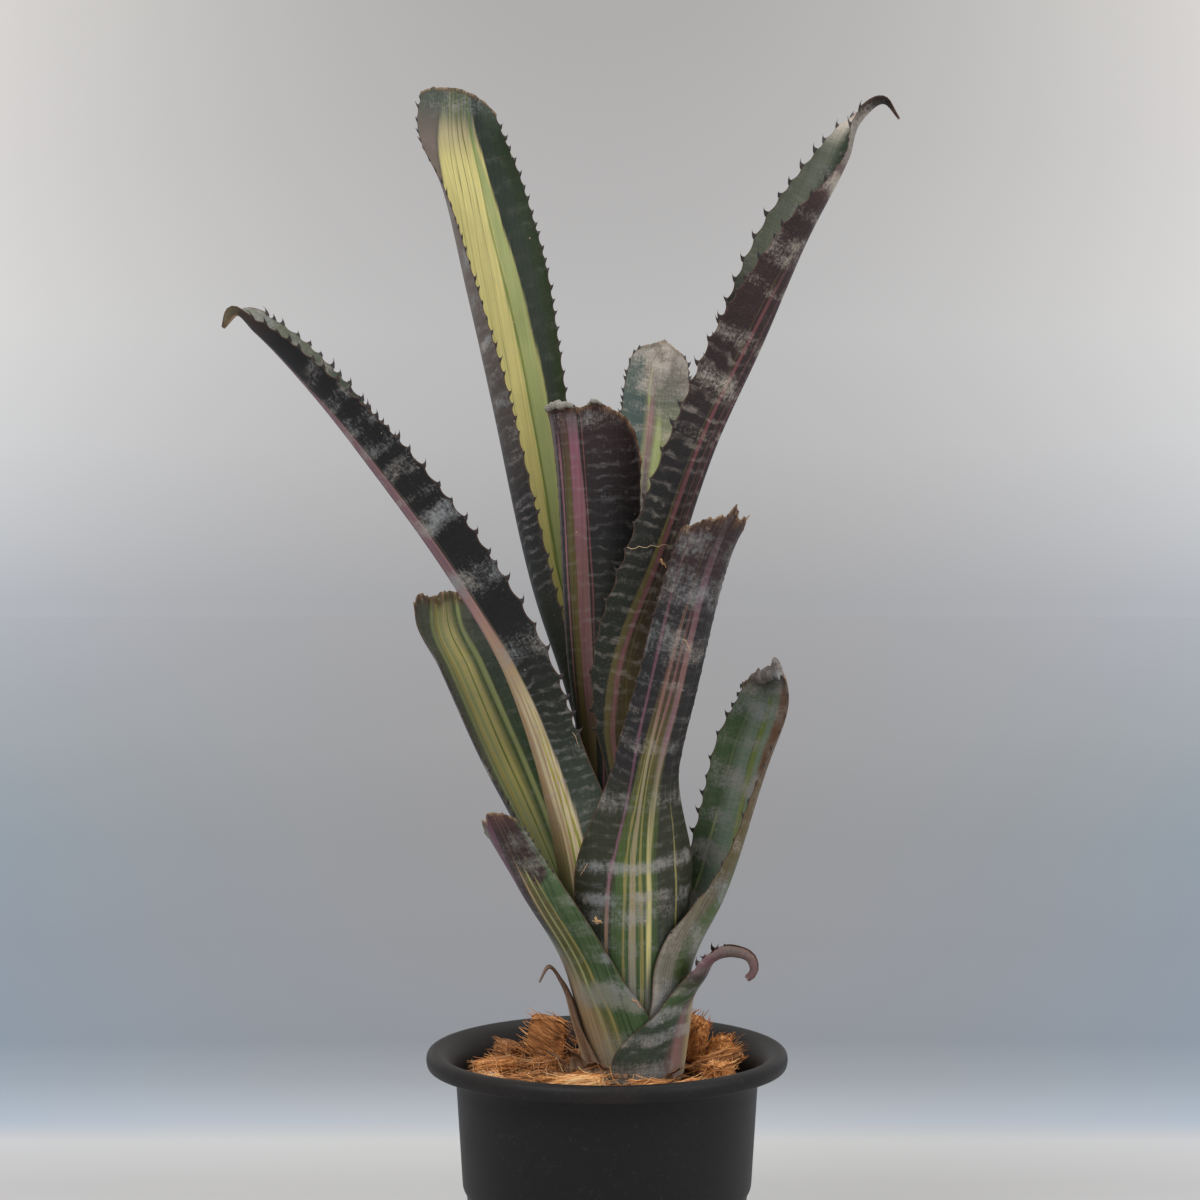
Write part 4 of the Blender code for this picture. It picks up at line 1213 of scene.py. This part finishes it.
def pot_profile():
    """Radius and height, from the foot up the outside, over the lip and down the inside."""
    top, lip, neck, foot = POT_HEIGHT, LIP_RADIUS, NECK_RADIUS, wall_radius(0)
    below, above = STEP_HEIGHT - 1, STEP_HEIGHT + 1
    return [
        (foot - 1.5, 0), (foot - 0.4, 0.5), (foot, 1.6),
        (wall_radius(below), below), (wall_radius(above), above),
        (neck, top - NECK_DROP), (neck + 1.8, top - 8), (neck + 4.8, top - 4.9), (neck + 8.2, top - 3.4),
        (lip - 2.4, top - 4.2), (lip - 2.1, top - LIP_DROP), (lip - 0.7, top - LIP_DROP),
        (lip, top - 4.6), (lip - 0.2, top - 1.9), (lip - 1.4, top - 0.4), (lip - 3.4, top),
        (neck + 6.6, top - 0.8), (neck + 3.9, top - 2.8), (neck + 1.3, top - 6.4), (neck - 0.7, top - 11.5),
        (wall_radius(above) - POT_WALL, above - 0.4), (wall_radius(below) - POT_WALL, below - 0.4),
        (foot - POT_WALL, POT_FLOOR + 1.5), (foot - POT_WALL - 1.5, POT_FLOOR),
    ]


def round_corners(points, most):
    """Cuts each corner of an open line twice, by no more than the given length."""
    points = [np.array(p, float) for p in points]
    for _ in range(2):
        out = [points[0]]
        for a, b in zip(points, points[1:]):
            step = min(0.25, most / max(np.linalg.norm(b - a), 1e-6))
            out += [a + (b - a) * step, b - (b - a) * step]
        points = out + [points[-1]]
    return points


def settle(obj):
    """Works out an object's modifiers into its own mesh."""
    bpy.context.view_layer.update()
    graph = bpy.context.evaluated_depsgraph_get()
    mesh = bpy.data.meshes.new_from_object(obj.evaluated_get(graph))
    obj.modifiers.clear()
    obj.data = mesh


def add_bmesh(name, bm):
    mesh = bpy.data.meshes.new(name)
    bm.to_mesh(mesh)
    bm.free()
    return add_object(name, mesh)


def make_pot():
    line = round_corners(pot_profile(), 1.2)
    ring = circle(POT_SIDES)
    points = [beside(ring * r, z) for r, z in line]
    points = np.concatenate(points + [[[0, 0, 0]], [[0, 0, POT_FLOOR]]])
    faces = ring_quads(len(line), POT_SIDES)
    under, over = len(points) - 2, len(points) - 1
    last = (len(line) - 1) * POT_SIDES
    for i in range(POT_SIDES):
        k = (i + 1) % POT_SIDES
        faces += [[k, i, under], [last + i, last + k, over]]
    pot = add_mesh("pot_shell", points, faces, [plastic_material()], 40)
    drills = bmesh.new()
    for i in range(DRAIN_HOLES):
        angle = FULL_TURN * (i + 0.5) / DRAIN_HOLES
        centre = Vector((math.cos(angle), math.sin(angle), 0)) * DRAIN_RING * MM
        bmesh.ops.create_cone(
            drills, cap_ends=True, segments=32, radius1=DRAIN_RADIUS * MM, radius2=DRAIN_RADIUS * MM,
            depth=4 * POT_FLOOR * MM, matrix=Matrix.Translation(centre),
        )
    cutter = add_bmesh("drills", drills)
    holes = pot.modifiers.new("holes", "BOOLEAN")
    holes.operation, holes.object = "DIFFERENCE", cutter
    settle(pot)
    bpy.data.objects.remove(cutter, do_unlink=True)
    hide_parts("pot")
    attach(pot, "root")


# ---------------------------------------------------------------- husk, medium and stem

# direction of the grain (degrees from +X), its rise, and tone from grey-brown to bright
CHIP_LOOKS = rows(
    "6 4 .5, 140 12 .3, 152 26 .4, 8 0 .3, -14 8 .45, -45 50 .6, -65 40 .8, -4 20 .35, 66 -5 .55, "
    "42 5 1.1, 15 0 .4, -8 5 1.15, -38 0 .32, -72 5 1.3, 30 0 .2, -20 5 .3, -35 8 .3, -12 0 .6, "
    "6 0 .2, 25 0 .2, -5 0 .5"
)


def farthest(points):
    """How far from the pot's axis the points reach."""
    return np.hypot(points[:, 0], points[:, 1]).max()


def strewn(rng, reach, inner):
    """A chance place on the pot's ground; inner is the middle's share of it, left bare."""
    turn, far = rng.uniform(0, FULL_TURN), reach * math.sqrt(rng.uniform(inner, 1))
    return far * math.cos(turn), far * math.sin(turn)


def fine_shape(name, voxel):
    """A CAD piece's shape with small even faces: points in millimetres, normals and faces."""
    work = add_object("work", frame["nodes"][name].data.copy())
    remesh = work.modifiers.new("fine", "REMESH")
    remesh.mode, remesh.voxel_size = "VOXEL", voxel * MM
    smooth = work.modifiers.new("soft", "SMOOTH")
    smooth.iterations, smooth.factor = 3, 0.5
    settle(work)
    points = np.array([v.co for v in work.data.vertices]) / MM
    normals = np.array([v.normal for v in work.data.vertices])
    faces = [tuple(p.vertices) for p in work.data.polygons]
    bpy.data.objects.remove(work, do_unlink=True)
    return points, normals, faces


def thread(points, girth, sides=4):
    """Rings of a thin tube along a line of points, thinner towards its end."""
    points = np.asarray(points, float)
    along = unit(np.gradient(points, axis=0))
    across = unit(np.cross(along, np.array([0.31, 0.52, 0.79])))
    other = np.cross(along, across)
    girths = girth * (1 - 0.6 * np.linspace(0, 1, len(points)) ** 2)
    turn = circle(sides)[:, :, None]
    return np.concatenate([
        p + g * (turn[:, 0] * a + turn[:, 1] * o) for p, g, a, o in zip(points, girths, across, other)
    ])


def add_chip_fibres(parts, rng, points, normals, grain, ends, tone):
    """Fibres that lie on the chip and stick out at its ends."""
    top = points[:, 2].max()
    for _ in range(CHIP_FIBRES):
        k = int(rng.integers(len(points)))
        if normals[k, 2] < -0.2:
            continue
        lying = ends[k] < 0.4
        length = rng.uniform(3, 9) if lying else rng.uniform(2, 8)
        away = grain * math.copysign(1, rng.uniform(-1, 1) if lying else normals[k] @ grain)
        s = np.linspace(0, 1, 6)[:, None]
        bow = rng.normal(0, 0.14, 3) * length
        line = points[k] + normals[k] * (0.15 + 0.25 * s) + away * length * (s - 0.2) + bow * s ** 2
        line[:, 2] = line[:, 2].clip(MEDIUM_TOP + 0.3, top + 2.5)
        if farthest(line) > FIBRE_REACH:
            continue
        shade = min(tone + rng.uniform(0.0, 0.4), 1.0)
        parts.add(
            thread(line, rng.uniform(*FIBRE_GIRTH), 3), tube_faces(6, 3),
            grain=(rng.uniform(0, 9), rng.uniform(0, 9)), depth=(rng.uniform(0, 9), shade),
        )


def make_chip(number, turn, rise, tone):
    """A husk chip: the CAD's shape, rounded, grooved along its grain and frayed at its ends."""
    name = "husk_chip_%02d" % number
    rng = np.random.default_rng(SEED + number)
    points, normals, faces = fine_shape(name, CHIP_VOXEL)
    a, b = math.radians(turn), math.radians(rise)
    grain = np.array([math.cos(a) * math.cos(b), math.sin(a) * math.cos(b), math.sin(b)])
    across = np.array([-math.sin(a), math.cos(a), 0.0])
    axes = np.array([grain, across, np.cross(grain, across)])
    local = points @ axes.T
    centre = (local.max(0) + local.min(0)) / 2
    reach = np.linalg.norm((local - centre) / (np.ptp(local, axis=0) / 2), axis=1)[:, None]
    local = centre + (local - centre) / (1 + 0.55 * (reach - 0.95).clip(0))
    shift = number * 11.3
    ends = np.abs(normals @ grain) ** 2
    grooves = np.abs(noise_at(local, (0.05, 0.5, 0.5), shift)) ** 0.7
    threads = noise_at(local, (0.12, 1.6, 1.6), shift + 4)
    lumps = noise_at(local, (0.11, 0.18, 0.18), shift + 7)
    depth = 0.25 + 1.1 * grooves + 0.35 * (threads + 1) + 0.9 * (lumps + 0.6).clip(0)
    depth += ends * 1.3 * (noise_at(local, (0.02, 1.1, 1.1), shift + 9) + 0.6).clip(0)
    points = local @ axes - normals * depth[:, None]
    flat = (local - local.mean(0)) / SKIN_UNIT
    parts = Parts("grain", "depth")
    parts.add(points, faces, grain=flat[:, :2] + number, depth=beside(flat[:, 2], tone))
    add_chip_fibres(parts, rng, points, normals, grain, ends, tone)
    chip = parts.build(name + "_coir", [bpy.data.materials["coir_husk"]], 60)
    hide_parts(name)
    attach(chip, "root")


def add_crumbs(parts, widest):
    """Crumbs of husk strewn over the medium."""
    rng = np.random.default_rng(SEED)
    bm = bmesh.new()
    bmesh.ops.create_icosphere(bm, subdivisions=2, radius=1.0)
    ball = np.array([v.co for v in bm.verts])
    faces = [[v.index for v in f.verts] for f in bm.faces]
    bm.free()
    for _ in range(CRUMBS):
        x, y = strewn(rng, CRUMB_REACH, 0.02)
        if math.hypot(x - ROSETTE_FOOT[0], y) < STEM_FOOT_RADIUS + STEM_CLEARANCE:
            continue
        size = np.array([rng.uniform(2.0, 5.0), rng.uniform(0.8, 2.0), rng.uniform(0.7, 1.7)])
        lumpy = ball * (1 + 0.35 * noise_at(ball, (1.5, 1.5, 1.5), rng.uniform(0, 99)))[:, None]
        turned = Matrix.Rotation(rng.uniform(0, math.pi), 3, "Z")
        turned = turned @ Matrix.Rotation(rng.uniform(-0.5, 0.5), 3, "Y")
        place = (lumpy * size) @ np.array(turned).T
        place += (x, y, MEDIUM_TOP - 0.6 + size[2] * 0.6)
        if farthest(place) > widest:
            continue
        shade = rng.uniform(0.25, 0.95)
        parts.add(
            place, faces, 1, grain=lumpy[:, :2] * size[:2] / SKIN_UNIT + rng.uniform(0, 9),
            depth=beside(lumpy[:, 2] * size[2] / SKIN_UNIT, shade),
        )


def make_medium():
    """A lumpy bed that fills the pot, with a pit for the stem and crumbs on top."""
    sides, inset = MEDIUM_SIDES, POT_WALL + MEDIUM_GAP
    widest = wall_radius(MEDIUM_TOP) - inset - MEDIUM_GAP
    ring = circle(sides)
    pit = ring * (STEM_FOOT_RADIUS - 1.5) + ROSETTE_FOOT[:2]
    levels = [beside(pit, ROSETTE_FOOT[2] - PIT_DEPTH)]
    for s in np.linspace(0, 1, MEDIUM_RINGS):
        flat = pit * (1 - s) + ring * widest * s
        places = beside(flat, 0)
        lumps, crumbs = noise_at(places, (0.14, 0.14, 1), 3.0), noise_at(places, (0.6, 0.6, 1), 8.0)
        levels.append(np.column_stack([flat, MEDIUM_TOP - 0.3 - 1.2 * (lumps + 1) - 0.7 * (crumbs + 1)]))
    for radius, height in (
        (wall_radius(STEP_HEIGHT + 1), STEP_HEIGHT + 0.9), (wall_radius(STEP_HEIGHT - 1), STEP_HEIGHT - 1.4),
        (wall_radius(0) - 0.2, POT_FLOOR + 2.1), (wall_radius(0) - 1.8, POT_FLOOR + 0.3),
    ):
        levels.append(beside(ring * (radius - inset), height))
    faces = ring_quads(len(levels), sides, inside_out=True)
    faces += [list(range(sides)), [(len(levels) - 1) * sides + i for i in reversed(range(sides))]]
    parts = Parts("grain", "depth")
    parts.add(np.concatenate(levels), faces)
    add_crumbs(parts, widest)
    bed = parts.build("coir_bed", [soil_material(), bpy.data.materials["coir_husk"]], 60)
    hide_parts("growing_medium")
    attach(bed, "root")


def make_stem():
    """The short stem, with ringed leaf scars."""
    points, normals, faces = fine_shape("stem", STEM_VOXEL)
    scars = np.sin((points[:, 2] - 0.07 * points[:, 0]) * 2.2)
    depth = 0.1 + 0.12 * (scars + 1) + 0.25 * (noise_at(points, (0.4, 0.4, 0.8), 2.0) + 1)
    stem = add_mesh("stem_bark", points - normals * depth[:, None], faces, [bark_material()], 60)
    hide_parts("stem")
    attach(stem, "root")


# ---------------------------------------------------------------- scraps and fibres

# middle x, y, z, the way it faces, wide, tall, lean and curl
SCRAPS = rows(
    "-12 -21.5 124.5 -118 9 14 24 2, -4.5 -26 124 -100 13 10 40 -2.4, 5 -28 122 -80 11 7.5 55 1.8, "
    "25 -17.5 119 -38 9 9 30 2, -17 -8 121 -165 8 12 26 2.2, -6 21.5 120.5 105 12 11 28 2, "
    "20 19 119.5 50 10 9 32 -2"
)
# dry threads and flecks that lie on the leaves: x and z of both ends, girth and tone
STRAYS = rows(
    "8 331.5 25 333 .14 .9, 21.5 327 23.5 324 .5 .75, -5 182 -2.5 180.5 .6 .8, -6 180.5 -2 180 .3 .9, "
    "-14 258 -11 251 .12 .9, 30 296 33 291 .15 .8, 10 150 14 146 .2 .7, -8 205 -11 199 .14 .85"
)


def make_scraps():
    """Ragged ends of withered scale leaves about the foot of the rosette."""
    parts = Parts("blade", "skin", "edge")
    v, u = np.mgrid[0:1:14j, -1:1:12j]
    faces, _ = sheet_faces(*v.shape)
    for number, (x, y, z, way, wide, tall, lean, curl) in enumerate(SCRAPS):
        ragged = 1 - 0.35 * (rough(u[0] * 5, number + 3) + 1).clip(0) * 0.5 - 0.4 * np.abs(u[0]) ** 3
        length = v * tall * ragged[None, :]
        tilt = np.radians(lean) * (0.35 + v ** 1.5)
        half = wide / 2 * (1 - 0.45 * v)
        crumple = rough((u * 3 + v * 2).ravel(), number).reshape(u.shape)
        bow = curl * (1 - u ** 2) * v - 1.2 * u ** 2 + 0.3 * crumple
        middle = np.array([x, y, z - 4]) + compass(way) * (length * np.sin(tilt) + bow)[..., None]
        middle += compass(way + 90) * (u * half)[..., None]
        middle[..., 2] += length * np.cos(tilt)
        skin = surface_normals(middle)
        parts.add([middle + skin * 0.14, middle - skin * 0.14], faces, **both_sheets(dict(
            blade=np.stack([(u + 1) / 2, 0.15 + 0.5 * v], -1),
            skin=np.stack([u * half, length], -1) / SKIN_UNIT + number,
            edge=np.stack([tall - length, (1 - np.abs(u)) * half], -1) / SKIN_UNIT,
        )))
    rank = LEAVES["leaf_dried_stub"]["rank"]
    paper = leaf_material("withered_scale", rank, 60.0, "leaf_dried_stub_back")
    scraps = parts.build("withered_scraps", [paper])
    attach(scraps, "root")


def surface_of(endings):
    """The surface of every piece whose name ends so, for rays to hit."""
    points, faces = [], []
    for obj in bpy.context.scene.objects:
        if obj.type == "MESH" and obj.name.endswith(endings):
            start = len(points)
            points += [tuple(v.co) for v in obj.data.vertices]
            faces += [tuple(start + i for i in p.vertices) for p in obj.data.polygons]
    return BVHTree.FromPolygons(points, faces)


def hit_from(surface, place, way):
    """Where a ray from a place first meets a surface, in millimetres, or None."""
    point = surface.ray_cast(Vector(place) * MM, Vector(way))[0]
    return point and point / MM


def add_loose_fibres(parts, ground):
    """Fibres dropped on the chips: each follows what lies under it."""
    rng = np.random.default_rng(SEED + 50)
    for number in range(LOOSE_FIBRES):
        length = rng.uniform(7, 32)
        turn = rng.uniform(0, FULL_TURN)
        x, y = strewn(rng, LOOSE_REACH, 0.1)
        bend = rng.normal(0, 0.05)
        line = []
        for s in np.linspace(-0.5, 0.5, 9):
            a = turn + bend * s * length
            px, py = x + math.cos(a) * s * length, y + math.sin(a) * s * length
            hit = hit_from(ground, (px, py, 200), (0, 0, -1))
            line.append((px, py, hit.z + 0.2 if hit else MEDIUM_TOP))
        line = np.array(line)
        for _ in range(2):
            line[1:-1, 2] = np.maximum(line[1:-1, 2], (line[:-2, 2] + line[2:, 2]) / 2)
        if number % RAISED_EACH == 0:
            line[:, 2] += rng.uniform(4, 11) * np.linspace(0, 1, len(line)) ** 2
        if farthest(line) > FIBRE_REACH - 0.5 or np.ptp(line[:, 2]) > FIBRE_DROP:
            continue
        if np.hypot(line[:, 0] - ROSETTE_FOOT[0], line[:, 1]).min() < STEM_FOOT_RADIUS + STEM_CLEARANCE:
            continue
        parts.add(thread(line, rng.uniform(*FIBRE_GIRTH)), tube_faces(len(line), 4),
                  grain=(0.5, rng.uniform(0.1, 1.0)))


def add_strays(parts, leaves):
    for x1, z1, x2, z2, girth, tone in STRAYS:
        line = []
        for s in np.linspace(0, 1, 12):
            x, z = x1 + (x2 - x1) * s, z1 + (z2 - z1) * s
            z += 0.5 * math.sin(5 * s + x)
            hit = hit_from(leaves, (x, -300, z), (0, 1, 0))
            if hit:
                line.append((x, hit.y - girth, z))
        parts.add(thread(line, girth), tube_faces(len(line), 4), grain=(0.5, tone))


def make_fibres():
    parts = Parts("grain", "depth")
    add_loose_fibres(parts, surface_of(("_coir", "coir_bed")))
    add_strays(parts, surface_of("_blade"))
    fibres = parts.build("loose_fibres", [fibre_material()], 80)
    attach(fibres, "root")


# ---------------------------------------------------------------- stage

CAMERA_PLACE = (-0.0029, -0.915, 0.311)
SHADES_REACH = 0.3
# the floor's colour in the middle and at the sides, against the height over the distance, from far to near;
# its darker and paler grades are painted light and shade
FLOOR_SHADES = [
    (0.0, (0.63, 0.63, 0.65), (0.76, 0.795, 0.88)), (0.06, (0.57, 0.57, 0.585), (0.59, 0.655, 0.72)),
    (0.11, (0.44, 0.44, 0.455), (0.42, 0.495, 0.57)), (0.155, (0.345, 0.35, 0.37), (0.335, 0.39, 0.46)),
    (0.20, (0.29, 0.305, 0.33), (0.285, 0.34, 0.41)), (0.218, (0.355, 0.37, 0.395), (0.345, 0.405, 0.475)),
    (0.237, (0.485, 0.515, 0.56), (0.45, 0.515, 0.60)), (0.246, (0.59, 0.59, 0.59), (0.61, 0.62, 0.635)),
    (0.265, (0.51, 0.51, 0.505), (0.55, 0.545, 0.55)),
]
# the air above it, against the upward part of the direction; its grades are painted light and shade
AIR_SHADES = [
    (0.0, (0.377, 0.377, 0.387), (0.46, 0.48, 0.52)), (0.03, (0.42, 0.415, 0.42), (0.55, 0.565, 0.59)),
    (0.07, (0.475, 0.47, 0.475), (0.645, 0.65, 0.66)), (0.12, (0.50, 0.495, 0.495), (0.70, 0.695, 0.69)),
    (0.2, (0.455, 0.447, 0.445), (0.69, 0.67, 0.66)), (0.26, (0.43, 0.42, 0.415), (0.70, 0.68, 0.66)),
]


def ground_shade(tree, value, x, y, shades):
    """The middle's shade, passing to the sides' by the square of x over y."""
    slope = x / y
    aside = tree.math("MINIMUM", slope * slope * 12.5, 1.0)
    value = value * (1 / SHADES_REACH)
    middle, sides = (tree.ramp(value, [(row[0] / SHADES_REACH, row[k]) for row in shades]) for k in (1, 2))
    return tree.mix(aside, middle, sides)


def make_world():
    """Even white light, and a pale, slightly graded ground for whatever sees past the floor."""
    world = bpy.data.worlds.new("studio")
    world.use_nodes = True
    bpy.context.scene.world = world
    tree = Tree("studio_world", world)
    light = tree.fill(tree.nodes["Background"], {"Color": (1.0, 0.99, 0.98, 1.0), "Strength": 0.6})
    x, y, z = tree.split(tree.nodes.new("ShaderNodeTexCoord").outputs["Generated"])
    # painted light and shade: what the camera sees past the floor is graded by direction
    seen = tree.add("Background", {"Color": ground_shade(tree, z, x, y, AIR_SHADES)})
    path = tree.nodes.new("ShaderNodeLightPath").outputs
    which = tree.most(path["Is Camera Ray"], path["Is Glossy Ray"])
    which = tree.most(which, path["Is Transmission Ray"])
    both = tree.add("MixShader", (which, light.outputs[0], seen.outputs[0]))
    tree.fill(tree.nodes["World Output"], {"Surface": both.outputs[0]})


def make_floor():
    """One wide floor: warm and pale about the pot, cooler behind, then paler far away."""
    bm = bmesh.new()
    lines = [[bm.verts.new((x, y, 0)) for y in (-20, -1, 0, 1, 40)] for x in (-30, -1, 1, 30)]
    for left, right in zip(lines, lines[1:]):
        for corners in zip(left, right, right[1:], left[1:]):
            bm.faces.new(corners)
    floor = add_bmesh("floor", bm)
    tree = Tree("floor_paper")
    # painted light and shade: the floor's colour is graded by place to stand for how the studio light falls
    # across it
    x, y, _ = tree.split(tree.position())
    away = tree.math("SQRT", x * x + y * y)
    back = tree.most(tree.most(y, -0.3), away - 1.7) - CAMERA_PLACE[1]
    colour = ground_shade(tree, CAMERA_PLACE[2] / back, x, back, FLOOR_SHADES)
    tree.fill(tree.shader, {"Base Color": colour, "Roughness": 0.95, "Specular IOR Level": 0.0})
    floor.data.materials.append(tree.material)


def make_lights():
    for name, place, size, power in (
        ("key_light", (-0.9, -1.3, 1.5), (1.0, 1.0), 15), ("fill_light", (1.3, -0.9, 0.9), (1.0, 1.2), 8),
        ("top_light", (0.1, 0.3, 1.7), (1.4, 1.0), 8),
    ):
        light = bpy.data.lights.new(name, "AREA")
        light.shape = "RECTANGLE"
        light.size, light.size_y = size
        light.energy = power
        obj = add_object(name, light)
        obj.location = place
        obj.rotation_euler = (Vector((0, 0, 0.3)) - Vector(place)).to_track_quat("-Z", "Y").to_euler()


def make_camera():
    camera = bpy.data.cameras.new("camera")
    camera.sensor_width = 36.0
    camera.lens = 66.0
    obj = add_object("camera", camera)
    obj.location = CAMERA_PLACE
    obj.rotation_euler = (math.radians(90), 0, 0)
    bpy.context.scene.camera = obj
    bpy.context.scene.view_settings.view_transform = "Standard"


thorn_material()
for leaf_name, plain in LEAVES.items():
    make_leaf(leaf_name, {**PLAIN_LEAF, **plain})
make_pot()
husk_material()
for chip_number, chip_look in enumerate(CHIP_LOOKS, 1):
    make_chip(chip_number, *chip_look)
make_medium()
make_stem()
make_scraps()
make_fibres()
make_world()
make_floor()
make_lights()
make_camera()
